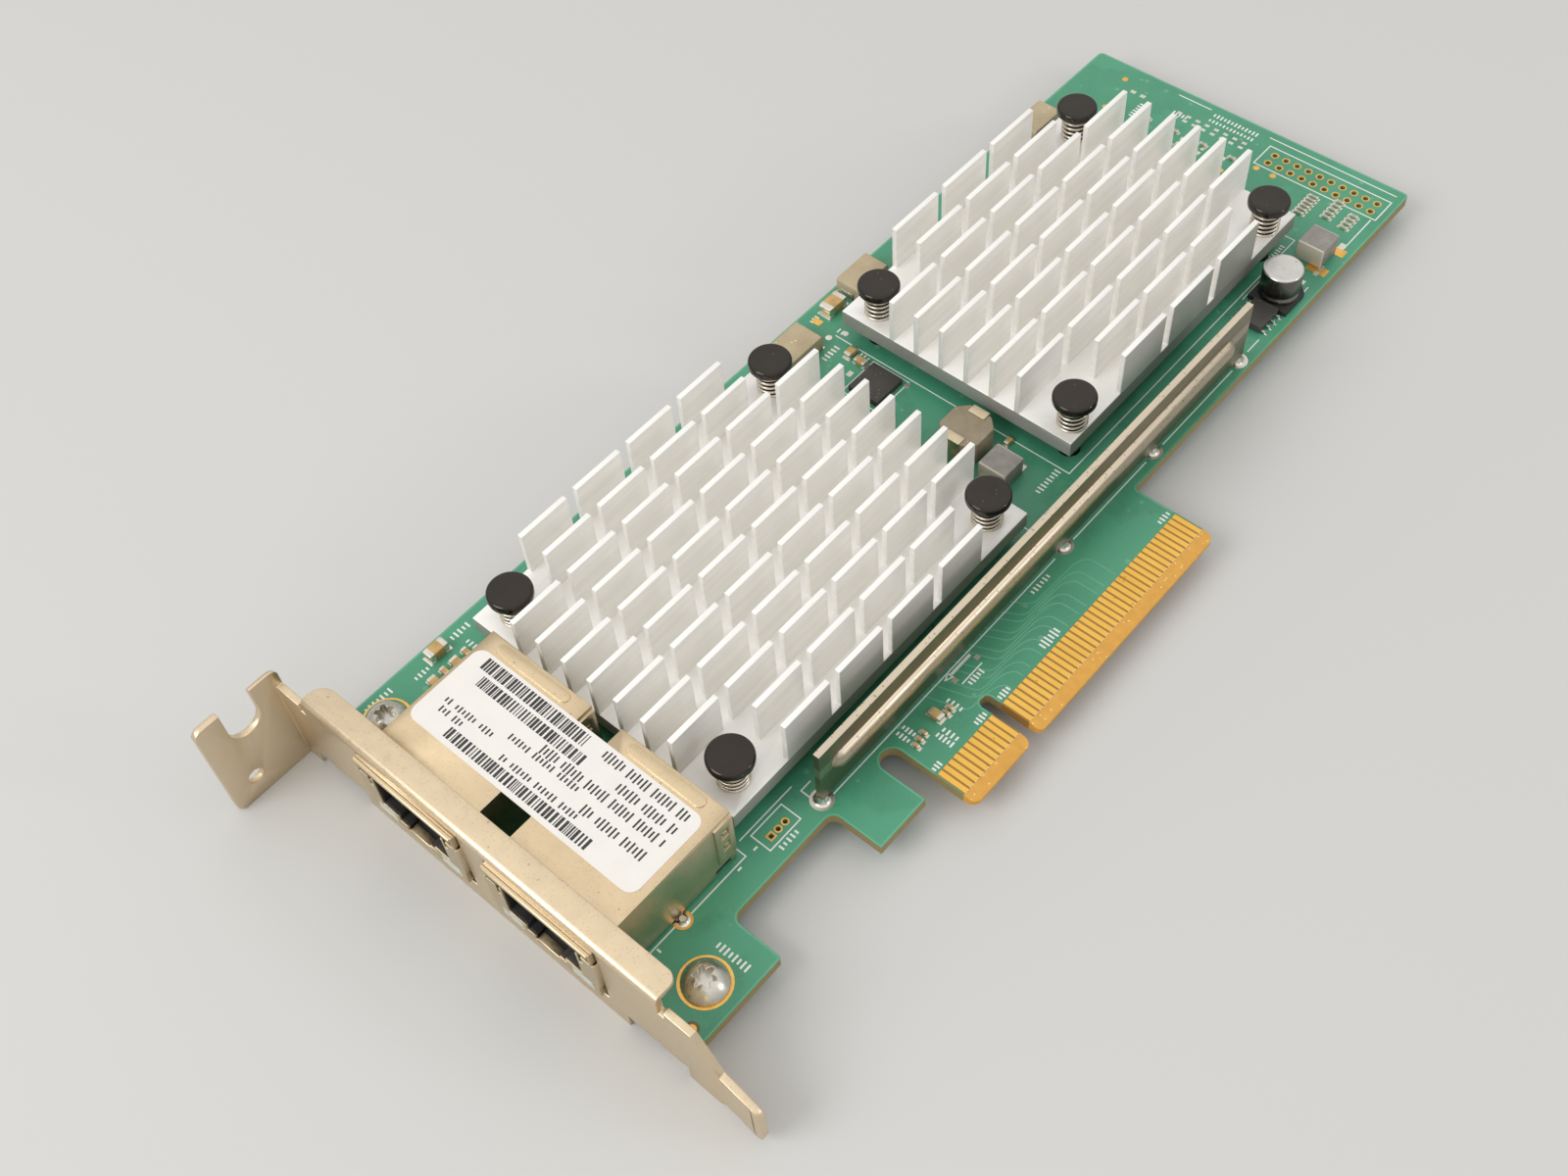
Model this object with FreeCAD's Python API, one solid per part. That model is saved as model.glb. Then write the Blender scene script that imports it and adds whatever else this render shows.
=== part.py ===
import FreeCAD
import Part
import math
import os

# Dual-port low-profile network interface card.
# Millimetres. +Z is up, out of the component face.
# Origin: centre line of the first edge contact, at the mating edge of the tongue,
# on the component face. +X runs from the bracket to the tail, +Y to the long free edge.

# Board
boardThick = 1.57
boardLeft = -44.92
boardRight = 122.73
boardBase = 12.6
boardTop = 68.9
tabBottom = 5.0
tabRight = -30.3
hookLeft = -12.4
hookRight = -4.0
tongueLeft = -0.65
tongueRight = 50.65
keyLeft = 10.55
keyRight = 12.45
keyEnd = 8.5
bevelLength = 1.8
bevelDrop = 0.5
screwX = -38.1
screwYs = (9.67, 64.4)
screwHole = 1.6

# Edge contacts
contactPitch = 1.0
contactWidth = 0.7
contactLength = 5.99
contactThick = 0.04
contactRuns = ((0, 11), (13, 51))

# Bracket
plateOuter = -46.3
sheet = 1.0
plateBottom = -4.6
plateTop = 10.8
lipTop = 12.65
lipReach = 2.75
lipYs = (7.9, 66.6)
tailEndY = -6.6
tabTopY = 72.6
tailAngle = 5.0
tabDepth = 11.43
tabTopZ = 13.8
notchX = -51.7
notchRadius = 2.3
notchFloor = 7.2
earLength = 13.2
earWidth = 8.0

# Jacks
windowGap = 0.35
jackFront = -47.2
jackRear = -24.03
jackTop = 11.4
jackFoot = 0.4
shellSheet = 0.3
hemDeep = 0.55
hemHigh = 0.7
flangeTop = 8.8
springGap = 0.33
ribX = -25.3
ribHalf = 0.8
flapFront = -27.0
flapFoot = 2.5
flapHead = 10.6
catchWindows = (4.6, 7.5)
jackYs = ((17.43, 34.5), (39.5, 56.5))
socketWide = 11.9
socketDeep = 13.0
socketFloor = 3.1
socketRoof = 9.9
latchWide = 4.0
latchFloor = 1.0
stepWide = 6.4
stepFloor = 2.0
lightWide = 3.4
lightFoot = 0.75
lightHead = 2.55

# Label across both shells
labelX = (-38.9, -26.6)
labelY = (18.6, 56.0)
labelThick = 0.1
labelCorner = 1.5

# Processors, as (name, x, y)
chipSpots = (("near", 6.4, 41.2), ("far", 75.1, 40.7))
chipSize = 25.0
chipTop = 2.2

# Heat sinks
baseBottom = 2.7
baseTop = 5.3
finTop = 12.65
finThick = 0.8
slotWide = 1.7
pinRadius = 1.4
pinHeadRadius = 3.05
pinHeadTop = 11.0
pinHeadHeight = 1.3

# Stiffener
barY = 14.15
barThick = 0.9
barTop = 11.0
barEnds = (-12.3, 79.1)
barFeet = (-11.9, 36.96, 57.5, 78.6)
beadX0 = -10.2
beadX1 = 75.0
beadZ = 6.6
beadRadius = 1.6

os.makedirs("parts", exist_ok=True)


def vec(x, y, z=0.0):
    return FreeCAD.Vector(x, y, z)


def block(x0, x1, y0, y1, z0, z1):
    return Part.makeBox(x1 - x0, y1 - y0, z1 - z0, vec(x0, y0, z0))


def rod(x, y, z0, z1, radius):
    return Part.makeCylinder(radius, z1 - z0, vec(x, y, z0), vec(0, 0, 1))


def wire(points, z):
    return Part.makePolygon([vec(x, y, z) for x, y in points + points[:1]])


def prism(points, z0, z1):
    return Part.Face(wire(points, z0)).extrude(vec(0, 0, z1 - z0))


def prismAlongX(points, x0, x1):
    loop = Part.makePolygon([vec(x0, y, z) for y, z in points + points[:1]])
    return Part.Face(loop).extrude(vec(x1 - x0, 0, 0))


def prismAlongY(points, y0, y1):
    loop = Part.makePolygon([vec(x, y0, z) for x, z in points + points[:1]])
    return Part.Face(loop).extrude(vec(0, y1 - y0, 0))


def edgesAlong(solid, axis, test):
    found = []
    for edge in solid.Edges:
        if len(edge.Vertexes) != 2:
            continue
        run = edge.Vertexes[1].Point - edge.Vertexes[0].Point
        middle = (edge.Vertexes[1].Point + edge.Vertexes[0].Point) * 0.5
        if run.Length > 1e-6 and abs(run.normalize().dot(axis)) > 0.999 and test(middle):
            found.append(edge)
    return found


def near(value, target, slack=0.02):
    return abs(value - target) < slack


# Points of a regular polygon round a centre, for small round features
def ring(x, y, radius, sides):
    turns = [2 * math.pi * (i + 0.5) / sides for i in range(sides)]
    return [(x + radius * math.cos(a), y + radius * math.sin(a)) for a in turns]


# Solid with flat sides between closed rings that have the same number of points
def lofted(rings):
    faces = [Part.Face(Part.makePolygon(points + points[:1])) for points in (rings[0], rings[-1])]
    for low, high in zip(rings, rings[1:]):
        for i in range(len(low)):
            corners = [low[i - 1], low[i], high[i], high[i - 1]]
            faces.append(Part.Face(Part.makePolygon(corners + corners[:1])))
    return Part.Solid(Part.Shell(faces))


# Round solid through stacked rings, from its (radius, height) profile
def stacked(x, y, profile, sides):
    return lofted([[vec(px, py, z) for px, py in ring(x, y, radius, sides)] for radius, z in profile])


def save(name, solids):
    shape = solids[0] if len(solids) == 1 else Part.makeCompound(solids)
    shape.exportStep("parts/" + name + ".step")


# Plate with its four corners rounded in a few flats
def roundedPlate(x0, x1, y0, y1, z0, z1, radius, steps):
    points = []
    middles = ((x1 - radius, y0 + radius, -90), (x1 - radius, y1 - radius, 0),
               (x0 + radius, y1 - radius, 90), (x0 + radius, y0 + radius, 180))
    for x, y, start in middles:
        for i in range(steps + 1):
            turn = math.radians(start + 90 * i / steps)
            points.append((x + radius * math.cos(turn), y + radius * math.sin(turn)))
    return prism(points, z0, z1)


# Pin positions as (x, y) for each heat sink
def pinSpots(xs, ys):
    return [(x, y) for x in xs for y in ys]


nearPins = pinSpots((-18.4, 30.85), (22.55, 59.75))
farPins = pinSpots((51.05, 98.3), (23.65, 57.15))

# Shell tabs stand at the side walls of both jacks
tabX = -34.15
tabSpots = []
for y0, y1 in jackYs:
    tabSpots.append((tabX, y0 + 0.15, -1))
    tabSpots.append((tabX, y1 - 0.15, 1))

# Unfitted header holes: a short row of three and a double row of ten at the tail
headerHoles = [(-19.5 + 1.27 * i, 16.1, 0.33) for i in range(3)]
for row in (116.2, 118.2):
    headerHoles += [(row, 15.4 + 1.97 * i, 0.42) for i in range(10)]


# Circuit board: outline with screw tab, hook, round slot, keyed tongue and bevelled tip
def makeBoard():
    outline = [
        (boardLeft, tabBottom),
        (tabRight, tabBottom),
        (tabRight, boardBase),
        (hookLeft, boardBase),
        (hookLeft, tabBottom),
        (hookRight, tabBottom),
        (hookRight, boardBase),
        (tongueLeft, boardBase),
        (tongueLeft, 0.0),
        (tongueRight, 0.0),
        (tongueRight, boardBase),
        (boardRight, boardBase),
        (boardRight, boardTop),
        (boardLeft, boardTop),
    ]
    board = prism(outline, -boardThick, 0.0)
    slotMiddle = (hookRight + tongueLeft) / 2
    slotRadius = (tongueLeft - hookRight) / 2
    board = board.cut(rod(slotMiddle, 11.4, -boardThick, 0.0, slotRadius))
    lowFill = block(hookRight, tongueLeft, 11.4, boardBase, -boardThick, 0.0)
    board = board.fuse(lowFill.cut(rod(slotMiddle, 11.4, -boardThick, 0.0, slotRadius)))
    keyMiddle = (keyLeft + keyRight) / 2
    keyRadius = (keyRight - keyLeft) / 2
    board = board.cut(block(keyLeft, keyRight, 0.0, keyEnd - keyRadius, -boardThick, 0.0))
    board = board.cut(rod(keyMiddle, keyEnd - keyRadius, -boardThick, 0.0, keyRadius))
    board = board.removeSplitter()
    inner = ((tabRight, boardBase, 1.3), (hookLeft, boardBase, 1.3), (tongueRight, boardBase, 0.6))
    tips = ((tongueLeft, 0.0, 1.1), (keyLeft, 0.0, 0.9), (keyRight, 0.0, 0.9), (tongueRight, 0.0, 1.1))
    corners = ((boardRight, boardTop, 0.8), (boardRight, boardBase, 0.8), (tabRight, tabBottom, 0.4))
    for x, y, radius in inner + tips + corners:
        picked = edgesAlong(board, vec(0, 0, 1), lambda m: near(m.x, x) and near(m.y, y))
        board = board.makeFillet(radius, picked)
    bevel = [(0.0, 0.0), (0.0, -bevelDrop), (bevelLength, 0.0)]
    board = board.cut(prismAlongX(bevel, tongueLeft - 1, tongueRight + 1))
    under = [(y, -boardThick - z) for y, z in bevel]
    board = board.cut(prismAlongX(under, tongueLeft - 1, tongueRight + 1))
    for y in screwYs:
        board = board.cut(prism(ring(screwX, y, screwHole, 12), -boardThick, 0.0))
    for x, y in nearPins + farPins:
        board = board.cut(prism(ring(x, y, pinRadius + 0.2, 12), -boardThick, 0.0))
    for x, y, side in tabSpots:
        board = board.cut(block(x - 0.8, x + 0.8, y - 0.35, y + 0.35, -boardThick, 0.0))
    for x, y, radius in headerHoles:
        board = board.cut(prism(ring(x, y, radius, 6), -boardThick, 0.0))
    for x in barFeet:
        y = barY + barThick / 2
        board = board.cut(prism(ring(x, y, 0.75, 6), -boardThick, 0.0))
    return board


save("board", [makeBoard()])


# Edge contacts: thin plated strips on both faces of the tongue, ending at the bevel
def makeContacts():
    strips = []
    for first, last in contactRuns:
        for i in range(first, last):
            left = i * contactPitch - contactWidth / 2
            right = left + contactWidth
            top = block(left, right, bevelLength, contactLength, 0.0, contactThick)
            low = block(left, right, bevelLength, contactLength, -contactThick, 0.0)
            low.translate(vec(0, 0, -boardThick))
            strips += [top, low]
    return strips


save("edge_contacts", makeContacts())


# Bracket: plate with two port windows, card-side lip, screw tab with notch,
# tapering tail and two ears folded under the board
def makeBracket():
    inner = plateOuter + sheet
    tabUnder = tabTopY - sheet
    tailTopZ = 4.4
    profile = [
        (-0.4, plateBottom + 1.0),
        (0.2, plateBottom),
        (tabUnder, plateBottom),
        (tabUnder, plateTop),
        (3.0, plateTop),
        (-0.4, tailTopZ),
    ]
    bracket = prismAlongX(profile, plateOuter, inner)
    swing = (tailEndY + 0.4) * math.tan(math.radians(tailAngle))
    tailFace = [
        (plateOuter, -0.4),
        (inner, -0.4),
        (inner + swing, tailEndY),
        (plateOuter + swing, tailEndY),
    ]
    tail = prism(tailFace, plateBottom + 1.0, tailTopZ)
    ends = edgesAlong(tail, vec(1, 0, 0), lambda m: near(m.y, tailEndY))
    bracket = bracket.fuse(tail.makeFillet(1.6, ends))

    # Lip: folds towards the board over the shells, between two relief notches
    lipBottom = lipTop - sheet
    riser = block(plateOuter, inner, lipYs[0], lipYs[1], plateTop - 0.4, lipBottom)
    lip = block(plateOuter, inner + lipReach, lipYs[0], lipYs[1], lipBottom, lipTop)
    for far, radius in ((True, 2.4), (False, 1.4)):
        corner = edgesAlong(lip, vec(0, 0, 1), lambda m: m.x > inner and (m.y > 40) == far)
        lip = lip.makeFillet(radius, corner)
    fold = edgesAlong(lip, vec(0, 1, 0), lambda m: near(m.x, plateOuter) and near(m.z, lipTop))
    bracket = bracket.fuse(riser).fuse(lip.makeFillet(0.95, fold))
    for y in (lipYs[0] - 0.9, lipYs[1]):
        bracket = bracket.cut(block(plateOuter, inner, y, y + 0.9, plateTop - 1.3, plateTop))

    # Screw tab: folds away from the board at the top of the plate
    tabEnd = plateOuter - tabDepth
    tab = block(tabEnd, inner, tabUnder, tabTopY, plateBottom, tabTopZ)
    rounded = edgesAlong(tab, vec(0, 1, 0), lambda m: near(m.x, tabEnd) or near(m.z, tabTopZ))
    tab = tab.makeFillet(1.2, rounded)
    notchTop = notchFloor + notchRadius
    notch = block(notchX - notchRadius, notchX + notchRadius, tabUnder, tabTopY, notchTop, tabTopZ)
    arc = Part.makeCylinder(notchRadius, sheet, vec(notchX, tabUnder, notchTop), vec(0, 1, 0))
    hole = Part.makeCylinder(1.1, sheet, vec(-53.8, tabUnder, -0.6), vec(0, 1, 0))
    bracket = bracket.fuse(tab.cut(notch).cut(arc).cut(hole))
    tabFold = edgesAlong(bracket, vec(0, 0, 1), lambda m: near(m.x, inner) and near(m.y, tabTopY))
    bracket = bracket.makeFillet(0.9, tabFold)

    # Ears: folded from the plate's lower edge, with a relief slot each side
    for y in screwYs:
        relief = block(plateOuter, inner, y - earWidth / 2 - 0.7, y + earWidth / 2 + 0.7,
                       plateBottom, -boardThick)
        bracket = bracket.cut(relief)
        low = -boardThick - sheet
        ear = block(plateOuter, inner + earLength, y - earWidth / 2, y + earWidth / 2, low, -boardThick)
        ends = edgesAlong(ear, vec(0, 0, 1), lambda m: m.x > inner + 1)
        ear = ear.makeFillet(2.5, ends)
        fold = edgesAlong(ear, vec(0, 1, 0), lambda m: near(m.x, plateOuter) and near(m.z, low))
        ear = ear.makeFillet(0.9, fold)
        bracket = bracket.fuse(ear)
        bracket = bracket.cut(prism(ring(screwX, y, 1.5, 12), low, -boardThick))
    for y0, y1 in jackYs:
        window = block(plateOuter, inner, y0 - windowGap, y1 + windowGap, -0.6, jackTop + 0.1)
        bracket = bracket.cut(window)
    return bracket.removeSplitter()


save("bracket", [makeBracket()])


# Bracket screws: domed heads on the component face, shanks through board and ear
def makeScrew(y):
    dome = [(2.9, 0.0), (2.75, 0.75), (2.2, 1.35), (1.3, 1.8)]
    shank = prism(ring(screwX, y, 1.45, 12), -4.1, 0.0)
    outer = ring(screwX, y, 1.3, 6)
    inner = [(screwX + 0.95 * math.cos(a), y + 0.95 * math.sin(a))
             for a in [2 * math.pi * (i + 1) / 6 for i in range(6)]]
    star = [point for pair in zip(outer, inner) for point in pair]
    return stacked(screwX, y, dome, 18).cut(prism(star, 0.9, 2.0)).fuse(shank)


save("bracket_screws", [makeScrew(y) for y in screwYs])


# Plug socket outline in (y, z): wide above, stepped below for the plug's latch
def socketOutline(middle):
    half = [
        (latchWide / 2, latchFloor),
        (latchWide / 2, stepFloor),
        (stepWide / 2, stepFloor),
        (stepWide / 2, socketFloor),
        (socketWide / 2, socketFloor),
        (socketWide / 2, socketRoof),
    ]
    return [(middle + y, z) for y, z in half] + [(middle - y, z) for y, z in half[::-1]]


# Jack planes along X, and the lights beside the latch steps
frontFace = jackFront + 0.25
insertFront = frontFace + shellSheet
socketBack = jackFront + socketDeep
wallGap = shellSheet + 0.05
insertTop = jackTop - wallGap


def lightBoxes(y0, y1):
    lows = (y0 + 1.1, y1 - 1.1 - lightWide)
    return [block(frontFace, frontFace + 1.95, low, low + lightWide, lightFoot, lightHead) for low in lows]


# Side spring: leaves the front flange, turns round the corner and runs back along the wall
def makeSideSpring(wall, side):
    outer = [(0.0, -0.4), (0.0, 0.15), (0.1, 0.27), (0.3, springGap), (2.2, springGap), (3.6, 0.15)]
    inner = [(3.6, 0.0), (2.2, 0.15), (0.4, 0.15), (0.25, 0.0), (0.25, -0.4)]
    path = [(frontFace + x, wall + side * y) for x, y in outer + inner]
    return prism(path, socketFloor, flangeTop)


# Front flange: sheet folded across the insert, with the socket, light windows and
# relief slots cut out, and a tongue folded back along the latch floor
def makeFlange(y0, y1):
    middle = (y0 + y1) / 2
    flange = block(frontFace, insertFront, y0, y1, jackFoot, flangeTop)
    flange = flange.cut(prismAlongX(socketOutline(middle), frontFace, insertFront))
    flange = flange.cut(lightBoxes(y0, y1))
    for side in (-1, 1):
        slot = sorted((middle + side * (socketWide / 2 + 0.35), middle + side * (socketWide / 2 + 0.85)))
        flange = flange.cut(block(frontFace, insertFront, slot[0], slot[1], flangeTop - 1.8, flangeTop))
    reach = latchWide / 2 - 0.2
    tongue = block(frontFace, frontFace + 1.2, middle - reach, middle + reach, latchFloor, latchFloor + 0.25)
    fold = edgesAlong(tongue, vec(0, 1, 0), lambda m: near(m.x, frontFace) and m.z > latchFloor + 0.1)
    return flange.fuse(tongue.makeFillet(0.15, fold))


# Jack shell: folded tin box, open below, with a hemmed lip and flange in front, a pressed
# rib on top, side tabs through the board and rear flaps held by two catches
def makeShell(y0, y1):
    outer = block(frontFace, jackRear, y0, y1, jackFoot, jackTop)
    inner = block(frontFace - 1, jackRear - shellSheet, y0 + shellSheet, y1 - shellSheet,
                  jackFoot - 1, jackTop - shellSheet)
    shell = outer.cut(inner)
    lip = block(jackFront, jackFront + hemDeep, y0 + 0.15, y1 - 0.15, jackTop - hemHigh, jackTop)
    rolled = edgesAlong(lip, vec(0, 1, 0), lambda m: near(m.x, jackFront))
    shell = shell.fuse([lip.makeFillet(0.25, rolled), makeFlange(y0, y1)])
    seamX = jackFront + hemDeep
    shell = shell.cut(block(seamX, seamX + 0.08, y0, y1, jackTop - 0.12, jackTop))
    rib = roundedPlate(ribX - ribHalf, ribX + ribHalf, y0 + 2.6, y1 - 2.2,
                       jackTop - 0.05, jackTop + 0.22, 0.79, 3)
    shell = shell.fuse(rib)
    for wall, side in ((y0, -1), (y1, 1)):
        shell = shell.fuse(makeSideSpring(wall, side))
        skin = sorted((wall, wall + side * 0.25))
        flap = block(flapFront, jackRear, skin[0], skin[1], flapFoot, flapHead)
        for z in catchWindows:
            window = block(flapFront + 1.0, flapFront + 2.1, skin[0], skin[1], z, z + 1.4)
            catch = sorted((wall, wall + side * 0.18))
            pressed = block(flapFront + 1.2, flapFront + 1.9, catch[0], catch[1], z + 0.3, z + 1.1)
            flap = flap.cut(window).fuse(pressed)
        shell = shell.fuse(flap)
        leg = sorted((wall, wall - side * shellSheet))
        shell = shell.fuse(block(tabX - 0.6, tabX + 0.6, leg[0], leg[1], -2.6, jackFoot + 0.2))
    sideGap = block(flapFront - 0.6, jackRear - 1.0, y0 - 1, y1 + 1, 0.0, 1.4)
    return shell.cut(sideGap).removeSplitter()


save("jack_shell_near", [makeShell(*jackYs[0])])
save("jack_shell_far", [makeShell(*jackYs[1])])


# Jack insert: moulded housing with the stepped plug socket and a pocket for each light
def makeInsert(y0, y1):
    body = block(insertFront, socketBack + 0.8, y0 + wallGap, y1 - wallGap, 0.05, insertTop)
    body = body.cut(prismAlongX(socketOutline((y0 + y1) / 2), insertFront, socketBack))
    return body.cut(lightBoxes(y0, y1))


# Magnetics block: sealed body behind the socket, and its pins below the board
def makeMagnetics(y0, y1):
    return block(socketBack + 0.8, jackRear - wallGap, y0 + wallGap, y1 - wallGap, 0.05, insertTop)


def makePins(y0, y1):
    pins = []
    for i in range(14):
        x = -32.0 + 2.54 * (i % 2)
        y = (y0 + y1) / 2 + (i - 6.5) * 1.02
        pins.append(block(x - 0.25, x + 0.25, y - 0.25, y + 0.25, -boardThick - 0.9, -boardThick))
    return pins


# Jack contacts: eight sprung wires that slope down from the socket roof
def makeWires(y0, y1):
    run = [
        (socketBack, 6.2),
        (socketBack, 6.65),
        (socketBack - 7.4, socketRoof - 0.05),
        (socketBack - 8.6, socketRoof - 0.05),
        (socketBack - 8.6, socketRoof - 0.4),
        (socketBack - 7.4, socketRoof - 0.45),
    ]
    wires = []
    for i in range(8):
        y = (y0 + y1) / 2 + (i - 3.5) * 1.02
        wires.append(prismAlongY(run, y - 0.18, y + 0.18))
    return wires


for side, (y0, y1) in zip(("near", "far"), jackYs):
    save("jack_insert_" + side, [makeInsert(y0, y1)])
    save("jack_magnetics_" + side, [makeMagnetics(y0, y1)])
    save("jack_contacts_" + side, makeWires(y0, y1))
    save("jack_pins_" + side, makePins(y0, y1))
save("jack_lights", lightBoxes(*jackYs[0]) + lightBoxes(*jackYs[1]))

# Label: thin rounded sheet across both shells
save("label", [roundedPlate(*labelX, *labelY, jackTop, jackTop + labelThick, labelCorner, 5)])


# Heat sink: base plate with thin fins along X, cross-cut by slots,
# fins left out round the four pins
def makeHeatSink(x0, x1, y0, rows, pitch, firstSlot, slotPitch, slots, bareRows, pins):
    y1 = y0 + (rows - 1) * pitch + finThick
    sink = block(x0, x1, y0, y1, baseBottom, baseTop)
    lefts = [x0] + [firstSlot + slotWide + i * slotPitch for i in range(slots)]
    rights = [firstSlot + i * slotPitch for i in range(slots)] + [x1]
    fins = []
    for row in range(rows):
        y = y0 + row * pitch
        for column in range(slots + 1):
            atEnd = column in (0, slots)
            if atEnd and row in bareRows:
                continue
            fins.append(block(lefts[column], rights[column], y, y + finThick, baseTop, finTop))
    sink = sink.fuse(fins)
    for x, y in pins:
        sink = sink.cut(prism(ring(x, y, pinRadius + 0.25, 12), baseBottom, baseTop))
    return sink.removeSplitter()


nearSink = makeHeatSink(-22.3, 35.0, 19.1, 11, 4.41, -14.17, 9.82, 5, (0, 1, 9, 10), nearPins)
farSink = makeHeatSink(47.85, 103.6, 21.5, 10, 4.345, 57.55, 11.4, 4, (0, 1, 8, 9), farPins)
save("heat_sink_near", [nearSink])
save("heat_sink_far", [farSink])

# Chip packages and the thermal pads between them and the heat sinks
for name, x, y in chipSpots:
    half = chipSize / 2
    substrate = block(x - half, x + half, y - half, y + half, 0.0, 0.9)
    mould = block(x - half + 1.2, x + half - 1.2, y - half + 1.2, y + half - 1.2, 0.9, chipTop)
    save("chip_" + name, [substrate.fuse(mould)])
    pad = half - 1.5
    save("thermal_pad_" + name, [block(x - pad, x + pad, y - pad, y + pad, chipTop, baseBottom)])


# Push pins: rounded head, shank through sink and board, split barb below the board
def makePin(x, y):
    seatZ = pinHeadTop - pinHeadHeight
    barbTop = -boardThick - 0.15
    tip = -boardThick - 2.55
    rim = pinHeadTop - 0.35
    head = [(pinHeadRadius, seatZ), (pinHeadRadius, rim), (pinHeadRadius - 0.35, pinHeadTop)]
    shank = prism(ring(x, y, pinRadius, 8), tip + 0.4, seatZ)
    barb = stacked(x, y, [(1.1, tip), (1.95, barbTop)], 8)
    slit = block(x - 0.35, x + 0.35, y - 2.2, y + 2.2, tip, -boardThick + 1.0)
    return stacked(x, y, head, 16).fuse([shank, barb]).cut(slit).removeSplitter()


save("push_pins_near", [makePin(x, y) for x, y in nearPins])
save("push_pins_far", [makePin(x, y) for x, y in farPins])


# Springs: sleeves with the coil's inner and outer diameters
def makeSpring(x, y):
    top = pinHeadTop - pinHeadHeight
    sleeve = prism(ring(x, y, 2.15, 8), baseTop, top)
    return sleeve.cut(prism(ring(x, y, 1.8, 8), baseTop, top))


save("pin_springs_near", [makeSpring(x, y) for x, y in nearPins])
save("pin_springs_far", [makeSpring(x, y) for x, y in farPins])


# Bead along X: rod with tapered ends, lofted through rings in YZ
def makeBead(x0, x1, y, z, radius):
    sections = ((x0, radius * 0.35), (x0 + radius, radius), (x1 - radius, radius), (x1, radius * 0.35))
    return lofted([[vec(x, py, pz) for py, pz in ring(y, z, size, 12)] for x, size in sections])


# Stiffener: upright strip with a pressed bead and four feet through the board
def makeStiffener():
    strip = block(barEnds[0], barEnds[1], barY, barY + barThick, 1.0, barTop)
    for x, side in ((barEnds[0], 1), (barEnds[1], -1)):
        cutOff = [(x - side, 0.9), (x - side, 7.0), (x, 7.0), (x + side * 0.1, 0.9)]
        strip = strip.cut(prismAlongY(cutOff, barY - 0.1, barY + barThick + 0.1))
    bead = makeBead(beadX0, beadX1, barY + 0.5, beadZ, beadRadius)
    front = block(beadX0, beadX1, barY - 3, barY + barThick / 2, beadZ - 3, beadZ + 3)
    strip = strip.fuse(bead.common(front))
    strip = strip.cut(makeBead(beadX0 + 1, beadX1 - 1, barY + barThick, beadZ, beadRadius - 0.6))
    for x in barFeet:
        foot = block(x - 0.45, x + 0.45, barY + 0.1, barY + barThick - 0.1, -2.4, 1.3)
        strip = strip.fuse(foot)
    return strip.removeSplitter()


save("stiffener", [makeStiffener()])


# Solder joints round the stiffener feet and the shell tabs, above and below the board
def makeJoint(x, y, radius, height, hole):
    return stacked(x, y, [(radius, 0.0), (radius * 0.65, height)], 6).cut(hole)


def mirroredBelow(joint):
    low = joint.mirror(vec(0, 0, 0), vec(0, 0, 1))
    low.translate(vec(0, 0, -boardThick))
    return low


joints = []
for x in barFeet:
    y = barY + barThick / 2
    hole = block(x - 0.45, x + 0.45, barY + 0.1, barY + barThick - 0.1, -0.1, 2)
    joint = makeJoint(x, y, 1.35, 0.9, hole)
    joints += [joint, mirroredBelow(joint)]
for x, y, side in tabSpots:
    hole = block(x - 0.65, x + 0.65, y - 0.2, y + 0.2, -0.1, 2)
    joint = makeJoint(x, y, 1.2, 0.5, hole)
    low = mirroredBelow(joint)
    inside = sorted((y - side * 3, y + side * 0.2))
    joints += [joint.cut(block(x - 2, x + 2, inside[0], inside[1], -0.1, 2)), low]
save("solder_joints", joints)

# Octagonal power inductor with end terminals folded onto its top
inductorX = 42.8
inductorY = 35.1
inductorHalf = 3.3
inductorTop = 4.0
cut = 1.5
octagon = []
for sx, sy, flip in ((1, -1, 0), (1, 1, 1), (-1, 1, 0), (-1, -1, 1)):
    ends = [(sx * (inductorHalf - cut), sy * inductorHalf), (sx * inductorHalf, sy * (inductorHalf - cut))]
    octagon += ends[::-1] if flip else ends
octagon = [(inductorX + x, inductorY + y) for x, y in octagon]
body = prism(octagon, 0.2, inductorTop)
clips = []
for side in (-1, 1):
    x = inductorX + side * 2.75
    end = inductorX + side * inductorHalf
    tip = inductorX + side * (inductorHalf + 0.25)
    xs = sorted((end, tip))
    clip = block(xs[0], xs[1], inductorY - 1.35, inductorY + 1.35, 0.0, inductorTop + 0.2)
    xs = sorted((inductorX + side * 2.1, tip))
    clip = clip.fuse(block(xs[0], xs[1], inductorY - 1.35, inductorY + 1.35, inductorTop, inductorTop + 0.2))
    clip = clip.fuse(block(xs[0], xs[1], inductorY - 1.35, inductorY + 1.35, 0.0, 0.2))
    clips.append(clip.removeSplitter())
save("power_inductor", [body])
save("power_inductor_terminals", clips)


# Block inductors: bevelled grey blocks
def makeBlockInductor(x, y, sizeX, sizeY, height):
    body = block(x - sizeX / 2, x + sizeX / 2, y - sizeY / 2, y + sizeY / 2, 0.0, height)
    upper = edgesAlong(body, vec(0, 1, 0), lambda m: near(m.z, height))
    return body.makeChamfer(0.4, upper)


save("block_inductors", [
    makeBlockInductor(41.5, 28.2, 4.4, 4.5, 3.0),
    makeBlockInductor(103.4, 17.1, 4.5, 4.3, 3.3),
])

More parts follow.
